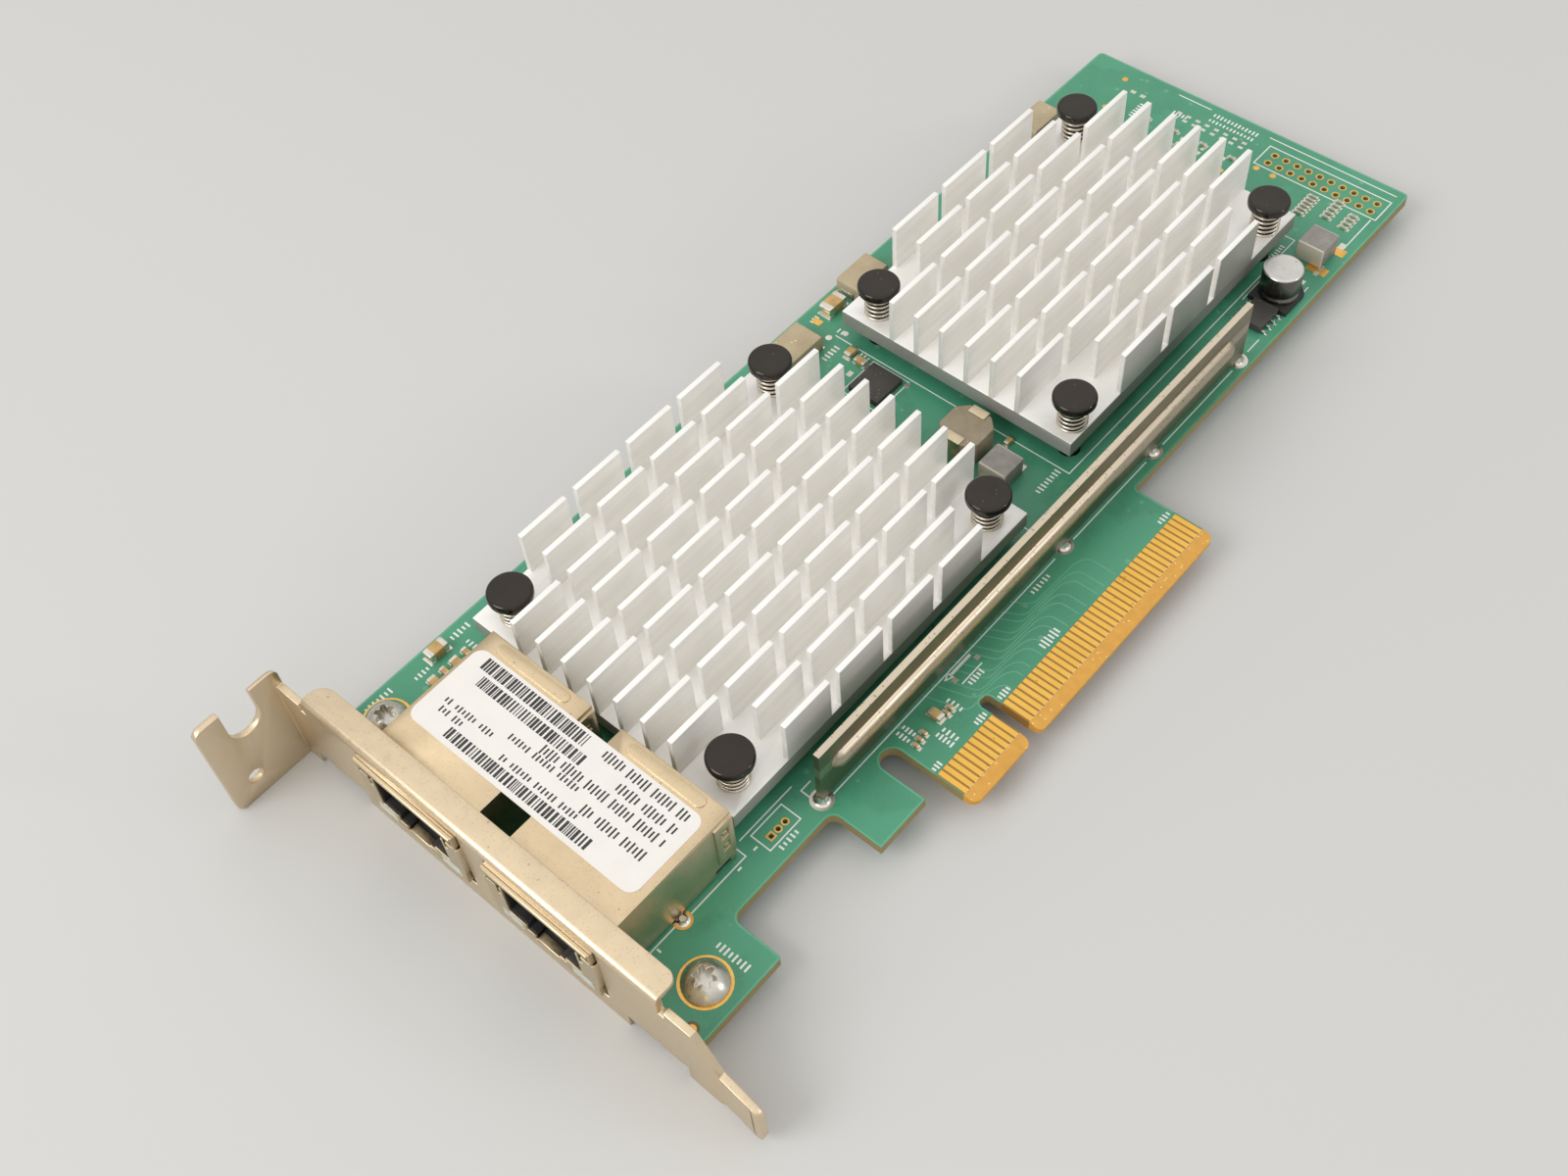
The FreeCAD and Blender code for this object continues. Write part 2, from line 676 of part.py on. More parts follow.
# Round can capacitor, crimped near its foot, on a square seat with two clipped corners
canX = 92.9
canY = 16.9
seat = block(canX - 3.15, canX + 3.15, canY - 3.15, canY + 3.15, 0.0, 0.9)
clipped = edgesAlong(seat, vec(0, 0, 1), lambda m: m.x > canX)
seat = seat.makeChamfer(1.2, clipped)
save("can_seat", [seat])
can = [(2.95, 0.9), (2.95, 1.5), (2.7, 1.8), (2.95, 2.1), (2.95, 5.2), (2.6, 5.6)]
save("can_capacitor", [stacked(canX, canY, can, 20)])


# Moulded capacitors with flat end terminals, as (x, y, length, width, height)
def makeMoulded(x, y, length, width, height):
    body = block(x - length / 2, x + length / 2, y - width / 2, y + width / 2, 0.15, height)
    upper = edgesAlong(body, vec(0, 1, 0), lambda m: near(m.z, height))
    body = body.makeChamfer(0.35, upper)
    for side in (-1, 1):
        end = x + side * length / 2
        xs = sorted((end, end - side * 0.9))
        body = body.cut(block(xs[0], xs[1], y - width / 4, y + width / 4, 0.15, 1.2))
    return body


mouldedSpots = ((40.9, 64.6, 7.0, 4.9, 2.6), (57.9, 66.0, 7.0, 4.2, 2.6), (101.2, 66.0, 7.0, 4.2, 2.6))
save("moulded_capacitors", [makeMoulded(*spot) for spot in mouldedSpots])
leads = []
for x, y, length, width, height in mouldedSpots:
    for side in (-1, 1):
        end = x + side * length / 2
        xs = sorted((end - side * 0.9, end + side * 0.25))
        leads.append(block(xs[0], xs[1], y - width / 4, y + width / 4, 0.0, 1.2))
save("moulded_capacitor_leads", leads)


# Small two-ended chips, as (x, y, length, width, height, whether they lie along Y)
def makeChip(x, y, length, width, height, alongY):
    if alongY:
        half = (width / 2, length / 2)
    else:
        half = (length / 2, width / 2)
    return block(x - half[0], x + half[0], y - half[1], y + half[1], 0.0, height)


ceramicSpots = [
    (-27.2, 66.9, 3.2, 1.7, 1.6, False),
    (51.3, 66.2, 3.9, 2.3, 1.7, False),
    (-30.5, 63.6, 2.0, 1.3, 0.8, True),
    (-28.6, 63.8, 1.6, 0.8, 0.8, True),
    (-26.7, 63.6, 2.0, 1.3, 0.8, True),
    (-24.8, 63.8, 1.6, 0.8, 0.8, True),
    (5.9, 11.2, 2.0, 1.2, 0.9, True),
    (7.0, 10.4, 1.0, 0.5, 0.5, True),
    (7.9, 10.5, 1.0, 0.5, 0.5, True),
    (1.0, 10.4, 1.0, 0.5, 0.5, True),
    (2.0, 10.6, 1.0, 0.5, 0.5, True),
    (3.0, 10.8, 1.0, 0.5, 0.5, True),
    (46.6, 30.6, 1.6, 0.8, 0.8, False),
    (37.6, 37.4, 1.6, 0.8, 0.8, True),
    (37.6, 34.6, 1.6, 0.8, 0.8, True),
    (37.6, 31.8, 1.6, 0.8, 0.8, True),
    (45.9, 58.3, 2.0, 1.2, 0.9, False),
    (45.4, 56.0, 2.0, 1.2, 0.9, True),
]
ceramics = [makeChip(*spot) for spot in ceramicSpots]

# Decoupling capacitors in two rows on the solder face, under each processor
for name, x, y in chipSpots:
    for column in range(4):
        for side in (-1, 1):
            chip = makeChip(x + 3.0 * (column - 1.5), y + side * 3.2, 1.0, 0.5, 0.5, True)
            chip.translate(vec(0, 0, -boardThick - 0.5))
            ceramics.append(chip)
save("ceramic_capacitors", ceramics)

resistorSpots = []
for i in range(6):
    resistorSpots.append((109.4 + 0.85 * i, 23.6, 1.6, 0.45, 0.4, True))
for i in range(5):
    resistorSpots.append((111.0 + 1.0 * i, 19.9, 1.4, 0.5, 0.4, True))
for i in range(4):
    resistorSpots.append((110.6 + 1.0 * i, 16.7, 1.4, 0.5, 0.4, True))
for i in range(7):
    resistorSpots.append((107.0, 37.5 + 3.6 * i, 1.2, 0.6, 0.4, False))
    resistorSpots.append((110.2, 36.0 + 3.6 * i, 1.2, 0.6, 0.4, False))
for i in range(4):
    resistorSpots.append((113.6, 38.0 + 5.2 * i, 1.2, 0.6, 0.4, True))
save("chip_resistors", [makeChip(*spot) for spot in resistorSpots])


# Power-stage chip and tail regulator with gull-wing legs
save("power_chip", [block(40.4, 46.1, 48.9, 54.2, 0.0, 1.0)])
regX = 87.2
regY = 16.8
regHalf = 1.95
save("regulator", [block(regX - 2.4, regX + 2.4, regY - regHalf, regY + regHalf, 0.15, 1.3)])
upper = [(0.0, 0.5), (0.45, 0.5), (0.6, 0.15), (1.0, 0.15)]
lower = [(1.0, 0.0), (0.5, 0.0), (0.35, 0.35), (0.0, 0.35)]
legs = []
for i in range(4):
    x = regX + (i - 1.5) * 1.27
    for side in (-1, 1):
        shape = [(regY + side * (regHalf + dy), z) for dy, z in upper + lower]
        legs.append(prismAlongX(shape, x - 0.2, x + 0.2))
save("regulator_legs", legs)
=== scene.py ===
import math
import bmesh
import bpy
import numpy as np
from mathutils import Matrix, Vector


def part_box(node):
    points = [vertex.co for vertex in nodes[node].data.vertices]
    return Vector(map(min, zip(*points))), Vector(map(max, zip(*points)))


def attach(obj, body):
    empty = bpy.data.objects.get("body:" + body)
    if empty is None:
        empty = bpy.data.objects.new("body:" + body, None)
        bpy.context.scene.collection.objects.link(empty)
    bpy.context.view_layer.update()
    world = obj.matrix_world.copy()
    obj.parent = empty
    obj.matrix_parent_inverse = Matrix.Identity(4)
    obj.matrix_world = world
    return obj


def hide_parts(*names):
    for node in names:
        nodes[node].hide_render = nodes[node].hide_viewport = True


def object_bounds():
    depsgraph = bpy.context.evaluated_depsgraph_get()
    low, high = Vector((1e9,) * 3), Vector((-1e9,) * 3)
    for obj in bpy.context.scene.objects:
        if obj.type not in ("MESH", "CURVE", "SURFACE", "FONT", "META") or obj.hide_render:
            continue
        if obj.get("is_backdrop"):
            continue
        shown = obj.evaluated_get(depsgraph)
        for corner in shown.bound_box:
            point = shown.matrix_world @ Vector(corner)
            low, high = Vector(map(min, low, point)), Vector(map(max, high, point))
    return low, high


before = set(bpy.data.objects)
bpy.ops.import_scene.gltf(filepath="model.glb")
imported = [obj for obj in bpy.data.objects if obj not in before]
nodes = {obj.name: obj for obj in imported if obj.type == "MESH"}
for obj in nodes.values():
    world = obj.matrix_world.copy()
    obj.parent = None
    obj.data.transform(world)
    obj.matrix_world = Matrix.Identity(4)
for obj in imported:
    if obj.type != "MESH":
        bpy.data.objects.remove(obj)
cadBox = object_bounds()
mm = 0.001
print("frame loaded:", len(nodes), "nodes")

# Mesh cleaning and rounding, in mm and degrees
clean = {"merge": 0.002, "sliver": 0.001, "samePoint": 0.0005, "flat": 0.6, "bevelFrom": 35, "bevelSteps": 2}


# Quads between the neighbours of a rows x cols grid of points, joined round where asked
def gridQuads(rows, cols, roundRows=False, roundCols=True):
    a, b = np.meshgrid(np.arange(rows if roundRows else rows - 1),
                       np.arange(cols if roundCols else cols - 1), indexing="ij")
    nextA, nextB = (a + 1) % rows, (b + 1) % cols
    return np.stack([a * cols + b, a * cols + nextB, nextA * cols + nextB, nextA * cols + b], -1).reshape(-1, 4)


# The same points and quads set down at every place, one after another
def repeatAt(points, quads, places):
    places = np.asarray(places, float).reshape(-1, 1, 3)
    many = (points[None] + places).reshape(-1, 3)
    steps = np.arange(len(places))[:, None, None] * len(points)
    return many, (quads[None] + steps).reshape(-1, quads.shape[1])


# Several (points, quads) surfaces as one
def joined(surfaces):
    offsets = np.cumsum([0] + [len(p) for p, q in surfaces[:-1]])
    return (np.concatenate([p for p, q in surfaces]),
            np.concatenate([q + o for (p, q), o in zip(surfaces, offsets)]))


# Low and high corners of a CAD node, in mm
def boxOf(nodeName):
    return [np.array(corner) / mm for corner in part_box(nodeName)]


# A new object of the scene, at the origin
def linked(name, data):
    made = bpy.data.objects.new(name, data)
    bpy.context.scene.collection.objects.link(made)
    return made


# A working copy of a mesh whose points nearer than gap mm are one
def mergedMesh(mesh, gap):
    bm = bmesh.new()
    bm.from_mesh(mesh)
    bmesh.ops.remove_doubles(bm, verts=bm.verts, dist=gap * mm)
    return bm


# A piece from points in mm: poles and seams are merged, normals point out, and it rides on the card
def addPiece(name, surface, material, stands=(), smooth=40, attributes=None):
    points, quads = surface
    mesh = bpy.data.meshes.new(name)
    mesh.from_pydata((np.asarray(points) * mm).tolist(), [], np.asarray(quads).tolist())
    for key, values in (attributes or {}).items():
        layer = mesh.attributes.new(key, "FLOAT", "POINT")
        layer.data.foreach_set("value", np.asarray(values, np.float32).ravel())
    bm = mergedMesh(mesh, clean["merge"])
    bmesh.ops.dissolve_degenerate(bm, edges=bm.edges, dist=clean["sliver"] * mm)
    bmesh.ops.recalc_face_normals(bm, faces=bm.faces)
    for edge in bm.edges:
        edge.smooth = len(edge.link_faces) == 2 and edge.calc_face_angle(0) < math.radians(smooth)
    for face in bm.faces:
        face.smooth = True
    bm.to_mesh(mesh)
    bm.free()
    piece = linked(name, mesh)
    mesh.materials.append(material)
    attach(piece, "root")
    if stands:
        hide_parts(*stands)


# Print, plating and traces: thin pieces whose corners stay sharp
def thinPiece(name, surface, material):
    addPiece(name, surface, material, smooth=30)


# A copy of a CAD node, merged and cleaned, with its sharp edges rounded over by width mm
def roundedCopy(nodeName, name, width, material, slotName):
    mesh = nodes[nodeName].data.copy()
    mesh.name = name
    bm = mergedMesh(mesh, clean["samePoint"])
    bmesh.ops.dissolve_limit(bm, angle_limit=math.radians(clean["flat"]), verts=bm.verts, edges=bm.edges)
    for face in bm.faces:
        face.smooth = True
    bm.to_mesh(mesh)
    bm.free()
    mesh.materials.clear()
    mesh.materials.append(material)
    piece = linked(name, mesh)
    bevel = piece.modifiers.new("softEdges", "BEVEL")
    bevel.width = width * mm
    bevel.segments = clean["bevelSteps"]
    bevel.limit_method = "ANGLE"
    bevel.angle_limit = math.radians(clean["bevelFrom"])
    bevel.harden_normals = True
    bevel.use_clamp_overlap = False
    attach(piece, "root")
    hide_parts(nodeName)


# Low and high corners, in mm, of each separate solid in a node
def solidBoxes(nodeName):
    bm = mergedMesh(nodes[nodeName].data, clean["samePoint"])
    left, boxes = set(bm.verts), []
    while left:
        reached = [left.pop()]
        for vert in reached:
            linkedVerts = [e.other_vert(vert) for e in vert.link_edges]
            fresh = [v for v in linkedVerts if v in left]
            left.difference_update(fresh)
            reached.extend(fresh)
        spots = np.array([v.co[:] for v in reached]) / mm
        boxes.append((spots.min(0), spots.max(0)))
    bm.free()
    return sorted(boxes, key=lambda box: tuple(np.round(box[0], 3)))


# Middle of each solid of a node in plan, at the board's top
def planMiddles(nodeName):
    return [(low + high) / 2 * (1, 1, 0) for low, high in solidBoxes(nodeName)]


# Turned shape: each (radius, height) of the profile carried round a circle
def turnedSurface(profile, around=48, centre=(0, 0, 0)):
    profile = np.asarray(profile, float)
    angle = np.linspace(0, 2 * np.pi, around, endpoint=False)
    x = profile[:, :1] * np.cos(angle)
    y = profile[:, :1] * np.sin(angle)
    z = np.repeat(profile[:, 1:], around, 1)
    points = np.stack([x, y, z], -1).reshape(-1, 3) + np.asarray(centre)
    return points, gridQuads(len(profile), around)


# Quarter arc of (radius, height) points: centre plus size times cosine and sine between two angles
def arcPoints(centreR, centreZ, size, start, end, count=6):
    turn = np.radians(np.linspace(start, end, count))
    return np.stack([centreR + size * np.cos(turn), centreZ + size * np.sin(turn)], -1)


# Rounded block: a ball whose sines and cosines are raised to a small power, scaled to the box
def softBlock(low, high, power):
    rings, around = 11, 24
    tall = np.linspace(-np.pi / 2, np.pi / 2, rings)[:, None]
    turn = np.linspace(0, 2 * np.pi, around, endpoint=False)[None] + np.pi / around
    bent = lambda value: np.where(np.abs(value) < 1e-9, 0, np.sign(value) * np.abs(value) ** power)
    x = bent(np.cos(tall)) * bent(np.cos(turn))
    y = bent(np.cos(tall)) * bent(np.sin(turn))
    z = bent(np.sin(tall)) * np.ones_like(turn)
    ball = np.stack([x, y, z], -1).reshape(-1, 3)
    return (low + high) / 2 + ball * (high - low) / 2, gridQuads(rings, around)


# Each row over its own length
def unitRows(rows):
    return rows / np.linalg.norm(rows, axis=1, keepdims=True)


# Mean normal of the two runs that meet at each point of a path, and the cosine of half its bend
def bendsOf(path, closed):
    ahead = np.roll(path, -1, 0) - path
    if not closed:
        ahead[-1] = ahead[-2]
    ahead = unitRows(ahead)
    behind = np.roll(ahead, 1, 0)
    if not closed:
        behind[0] = ahead[0]
    mean = unitRows(ahead + behind)
    return np.column_stack([-mean[:, 1], mean[:, 0]]), (mean * ahead).sum(1, keepdims=True)


# Box-section ribbon along a path: each point steps sideways by half the width over the cosine of half its bend,
# low and high, and an open path ends in a point at each end's middle
def ribbon(path, width, foot, top, closed=False):
    path = np.asarray(path, float)
    normal, cosine = bendsOf(path, closed)
    side = normal * width / 2 / np.clip(cosine, 0.35, 1)
    edges = np.stack([path + side, path + side, path - side, path - side], 1)
    heights = np.broadcast_to(np.array([foot, top, top, foot])[None, :, None], (len(path), 4, 1))
    rings = np.concatenate([edges, heights], 2)
    if not closed:
        rings = np.concatenate([rings[:1].mean(1, keepdims=True).repeat(4, 1), rings,
                                rings[-1:].mean(1, keepdims=True).repeat(4, 1)])
    return rings.reshape(-1, 3), gridQuads(len(rings), 4, closed, True)


# A path whose inner corners are eased: each becomes the quadratic curve between points a short way along its
# two runs
def eased(path, reach):
    path = np.asarray(path, float)
    corner = path[1:-1]
    start, end = [corner + run * np.minimum(0.49, reach / np.linalg.norm(run, axis=1, keepdims=True))
                  for run in (path[:-2] - corner, path[2:] - corner)]
    t = np.linspace(0, 1, 6)[None, :, None]
    curve = (1 - t) ** 2 * start[:, None] + 2 * t * (1 - t) * corner[:, None] + t ** 2 * end[:, None]
    return np.concatenate([path[:1], curve.reshape(-1, 2), path[-1:]])


# Thin blocks, one for each (x, y, length along x, length along y), between two heights
def slabs(spots, foot, top):
    spots = np.asarray(spots, float)
    corners = [(-1, -1), (1, -1), (1, 1), (-1, 1)]
    unit = np.array([(*corner, z) for z in (0, 1) for corner in corners])
    half = np.column_stack([spots[:, 2:] / 2, np.full(len(spots), top - foot)])
    centre = np.column_stack([spots[:, :2], np.full(len(spots), foot)])
    points = centre[:, None] + unit[None] * half[:, None]
    sides = np.array([(3, 2, 1, 0), (4, 5, 6, 7), (0, 1, 5, 4), (1, 2, 6, 5), (2, 3, 7, 6), (3, 0, 4, 7)])
    quads = sides[None] + np.arange(len(spots))[:, None, None] * 8
    return points.reshape(-1, 3), quads.reshape(-1, 4)


# Flat ring: a box section carried round a circle
def flatRing(inner, outer, foot, top, around=28):
    section = [(inner, foot), (inner, top), (outer, top), (outer, foot)]
    return turnedSurface(section, around)[0], gridQuads(4, around, True)


# Flat disc with a closed rim
def flatDisc(radius, foot, top):
    return turnedSurface([(0, foot), (radius, foot), (radius, top), (0, top)], 24)


# Rows of plain strokes: short bars crossing a line from start to end, some of them a little shorter
def strokeRow(start, end, tall, count, thin):
    start, end = np.asarray(start, float), np.asarray(end, float)
    t = (np.arange(count) + 0.5) / count
    spots = start + (end - start) * t[:, None]
    high = tall * np.where(np.arange(count) * 7 % 5 < 2, 0.72, 1.0)
    alongX = abs(end[0] - start[0]) > abs(end[1] - start[1])
    sizes = np.column_stack([np.full(count, thin), high] if alongX else [high, np.full(count, thin)])
    return np.column_stack([spots, sizes])


# A shader node: its own settings, then each input linked to a socket or set to a value
def put(tree, kind, links=None, **settings):
    node = tree.nodes.new(kind)
    for key, value in settings.items():
        setattr(node, key, value)
    for key, value in (links or {}).items():
        if isinstance(value, bpy.types.NodeSocket):
            tree.links.new(value, node.inputs[key])
        else:
            node.inputs[key].default_value = value
    return node


# Sockets linked into a node's inputs by name, with _ for a space
def feed(node, **sockets):
    for key, socket in sockets.items():
        node.id_data.links.new(socket, node.inputs[key.replace("_", " ")])


# Arithmetic on values, in the tree of the first one, which is always a socket
def calc(operation, first, second=0.0):
    return put(first.id_data, "ShaderNodeMath", {0: first, 1: second}, operation=operation).outputs[0]


def times(first, second):
    return calc("MULTIPLY", first, second)


def plus(first, second):
    return calc("ADD", first, second)


# A value carried from one range to another, and held at its ends
def rangeOf(value, fromLow, fromHigh, low=0.0, high=1.0):
    return put(value.id_data, "ShaderNodeMapRange", {"Value": value, "From Min": fromLow, "From Max": fromHigh,
                                                     "To Min": low, "To Max": high}).outputs["Result"]


# Two colours, the second where the mask is 1, each a socket or three numbers
def mixColours(mask, first, second):
    links = {0: mask, 6: first, 7: second}
    tree = next(value for value in links.values() if isinstance(value, bpy.types.NodeSocket)).id_data
    links = {key: (*value, 1) if isinstance(value, tuple) else value for key, value in links.items()}
    return put(tree, "ShaderNodeMix", links, data_type="RGBA").outputs[2]


# Noise at a place, as a value from 0 to 1
def noiseAt(place, scale, detail, roughness=0.5):
    return put(place.id_data, "ShaderNodeTexNoise", {"Vector": place, "Scale": scale, "Detail": detail,
                                                     "Roughness": roughness}).outputs["Fac"]


# X, Y and Z of a vector, and of the way the surface faces
def partsOf(vector):
    return put(vector.id_data, "ShaderNodeSeparateXYZ", {"Vector": vector}).outputs


def facingOf(place):
    return partsOf(put(place.id_data, "ShaderNodeNewGeometry").outputs["Normal"])


# The surface's normal tilted by a height of the given depth in metres
def bumped(height, strength, depth=0.02 * mm):
    return put(height.id_data, "ShaderNodeBump", {"Height": height, "Strength": strength,
                                                  "Distance": depth}).outputs["Normal"]


# A node group with named inputs, each a number or a vector, and outputs that are numbers
def newGroup(name, inputs, outputs):
    tree = bpy.data.node_groups.new(name, "ShaderNodeTree")
    for label, value in inputs.items():
        kind = "NodeSocketFloat" if isinstance(value, float) else "NodeSocketVector"
        tree.interface.new_socket(label, in_out="INPUT", socket_type=kind).default_value = value
    for label in outputs:
        tree.interface.new_socket(label, in_out="OUTPUT", socket_type="NodeSocketFloat")
    return tree, put(tree, "NodeGroupInput").outputs, put(tree, "NodeGroupOutput")


def useGroup(group, place, **values):
    return put(place.id_data, "ShaderNodeGroup", {"Vector": place, **values}, node_tree=group).outputs


# Drawn grain: noise stretched along one axis, as a shade round 0.5 and a height
grainGroup, given, out = newGroup("drawnGrain", {"Vector": (0, 0, 0), "Stretch": (1, 1, 1), "Scale": 400.0},
                                  ("Shade", "Fine"))
stretched = put(grainGroup, "ShaderNodeVectorMath", {0: given["Vector"], 1: given["Stretch"]},
                operation="MULTIPLY").outputs[0]
feed(out, Shade=noiseAt(stretched, given["Scale"], 3.0, 0.6),
     Fine=noiseAt(stretched, times(given["Scale"], 6.0), 2.0))

# Mottle: soft cloudy change between two levels
mottleGroup, given, out = newGroup("cloudyMottle", {"Vector": (0, 0, 0), "Scale": 120.0, "Low": 0.0,
                                                    "High": 1.0}, ("Value",))
cloud = noiseAt(given["Vector"], given["Scale"], 5.0, 0.6)
feed(out, Value=rangeOf(cloud, 0.3, 0.7, given["Low"], given["High"]))

# Specks: small round spots where a cell's own number is above the cover threshold
speckGroup, given, out = newGroup("dustSpecks", {"Vector": (0, 0, 0), "Scale": 900.0, "Size": 0.25,
                                                 "Rare": 0.8}, ("Mask",))
cells = put(speckGroup, "ShaderNodeTexVoronoi", {"Vector": given["Vector"], "Scale": given["Scale"]}).outputs
cellPick = put(speckGroup, "ShaderNodeSeparateColor", {"Color": cells["Color"]}).outputs[0]
feed(out, Mask=times(calc("GREATER_THAN", cellPick, given["Rare"]),
                     calc("LESS_THAN", cells["Distance"], given["Size"])))


# The three groups placed in a material at a place, each with its own values
def grainAt(place, stretch, scale):
    return useGroup(grainGroup, place, Stretch=stretch, Scale=scale)


def mottleAt(place, scale, high=1.0):
    return useGroup(mottleGroup, place, Scale=scale, Low=0.0, High=high)["Value"]


def specksAt(place, scale, size, rare):
    return useGroup(speckGroup, place, Scale=scale, Size=size, Rare=rare)["Mask"]


# A material with its fixed values set, its shader, and the place on the object
def startMaterial(name, **fixed):
    material = bpy.data.materials.new(name)
    material.use_nodes = True
    shader = material.node_tree.nodes["Principled BSDF"]
    for key, value in fixed.items():
        shader.inputs[key.replace("_", " ")].default_value = value
    return material, shader, put(material.node_tree, "ShaderNodeTexCoord").outputs["Object"]


# Sheet metal: drawn lines change its colour and gloss, clouds of handling stain, dust and pits sit over them,
# and where given its upright sides get a painted shade: a darker colour for the dark surroundings they reflect
def sheetMetal(name, colour, stain, roughness, grainScale, stretch=(1, 1, 1), bump=0.05, dusty=0.92,
               pitted=0.0, sides=None):
    material, shader, place = startMaterial(name, Metallic=1.0)
    shaded = lambda share, base: tuple(share * c for c in base)
    grain = grainAt(place, stretch, grainScale)
    mottle = mottleAt(place, 140.0, 0.55)
    tone = mixColours(mottle, colour, stain)
    tone = mixColours(rangeOf(grain["Shade"], 0.25, 0.75, 0.0, 0.22), tone, shaded(0.6, colour))
    tone = mixColours(specksAt(place, 1400.0, 0.22, dusty), tone, shaded(0.75, stain))
    tone = mixColours(times(specksAt(place, 3000.0, 0.36, 0.66), pitted), tone, shaded(0.7, stain))
    # painted shade: faces that stand upright take the darker sides colour
    if sides:
        tone = mixColours(rangeOf(facingOf(place)["Z"], 0.25, 0.75), sides, tone)
    gloss = plus(rangeOf(grain["Fine"], 0.2, 0.8, roughness - 0.07, roughness + 0.1), times(mottle, 0.12))
    feed(shader, Base_Color=tone, Roughness=gloss, Normal=bumped(grain["Fine"], bump))
    return material


# Moulded plastic: fine texture in the bump, slight cloud in colour and gloss
def mouldedPlastic(name, colour, pale, roughness, grainScale=2500.0, bump=0.12, **fixed):
    material, shader, place = startMaterial(name, **fixed)
    mottle = mottleAt(place, 300.0)
    tone = mixColours(mottle, colour, pale)
    tone = mixColours(specksAt(place, 1600.0, 0.2, 0.9), tone, tuple(min(1.0, 1.6 * c + 0.03) for c in pale))
    feed(shader, Base_Color=tone, Roughness=plus(times(mottle, 0.1), roughness),
         Normal=bumped(noiseAt(place, grainScale, 3.0), bump))
    return material


# Printed, plated or bare flat finish, a little uneven
def flatFinish(name, colour, pale, roughness, scale=900.0, metallic=0.0):
    material, shader, place = startMaterial(name, Metallic=metallic)
    mottle = mottleAt(place, scale)
    feed(shader, Base_Color=mixColours(mottle, colour, pale), Roughness=plus(times(mottle, 0.1), roughness))
    return material


# Two-ended chip: plated where the along attribute passes the cap mark, fired body between, greenish where the
# glazed attribute is 1
def chipMaterial(name, body, pale, capFrom, capMetal=1.0):
    material, shader, place = startMaterial(name)
    along, glazed = [put(place.id_data, "ShaderNodeAttribute", attribute_name=key).outputs["Fac"]
                     for key in ("along", "glazed")]
    cap = rangeOf(calc("ABSOLUTE", along), capFrom - 0.04, capFrom + 0.04)
    mottle = mottleAt(place, 700.0)
    middle = mixColours(glazed, mixColours(mottle, body, pale), (0.42, 0.44, 0.34))
    plated = mixColours(mottle, (0.88, 0.83, 0.74), (0.70, 0.65, 0.56))
    plated = mixColours(1.0 - capMetal, plated, (0.60, 0.53, 0.43))
    feed(shader, Base_Color=mixColours(cap, middle, plated), Metallic=times(cap, capMetal),
         Roughness=plus(times(cap, -0.12), 0.45), Normal=bumped(mottle, 0.2, 0.03 * mm))
    return material


# Stiffener: drawn lines along its length; a painted highlight on its top edge and along the middle of the bead,
# and a painted dark olive reflection on its upright faces
def stiffenerMaterial():
    beadMiddle, beadHalf = 6.9 * mm, 1.25 * mm
    material, shader, place = startMaterial("stiffenerSteel", Metallic=1.0)
    grain = grainAt(place, (0.04, 1, 1), 900.0)
    fromBead = calc("ABSOLUTE", calc("SUBTRACT", partsOf(place)["Z"], beadMiddle))
    # painted highlight: a pale band along the middle of the bead
    paintedBeadHighlight = times(rangeOf(fromBead, beadHalf, 0.55 * beadHalf), 0.42)
    # painted highlight: faces that look upward, the top edge, take the pale colour too
    paintedHighlight = calc("MAXIMUM", paintedBeadHighlight, rangeOf(facingOf(place)["Z"], 0.4, 0.9))
    # painted reflection: the upright faces are dark olive, standing for the dark surroundings they mirror
    paintedDarkReflection = mixColours(mottleAt(place, 140.0, 0.55), (0.25, 0.22, 0.145), (0.17, 0.155, 0.10))
    tone = mixColours(paintedHighlight, paintedDarkReflection, (0.80, 0.69, 0.54))
    tone = mixColours(rangeOf(grain["Shade"], 0.25, 0.75, 0.0, 0.3), tone, (0.30, 0.26, 0.19))
    tone = mixColours(times(specksAt(place, 2400.0, 0.32, 0.8), 0.55), tone, (0.20, 0.14, 0.08))
    feed(shader, Base_Color=tone, Roughness=rangeOf(grain["Fine"], 0.2, 0.8, 0.26, 0.44),
         Normal=bumped(grain["Fine"], 0.1))
    return material


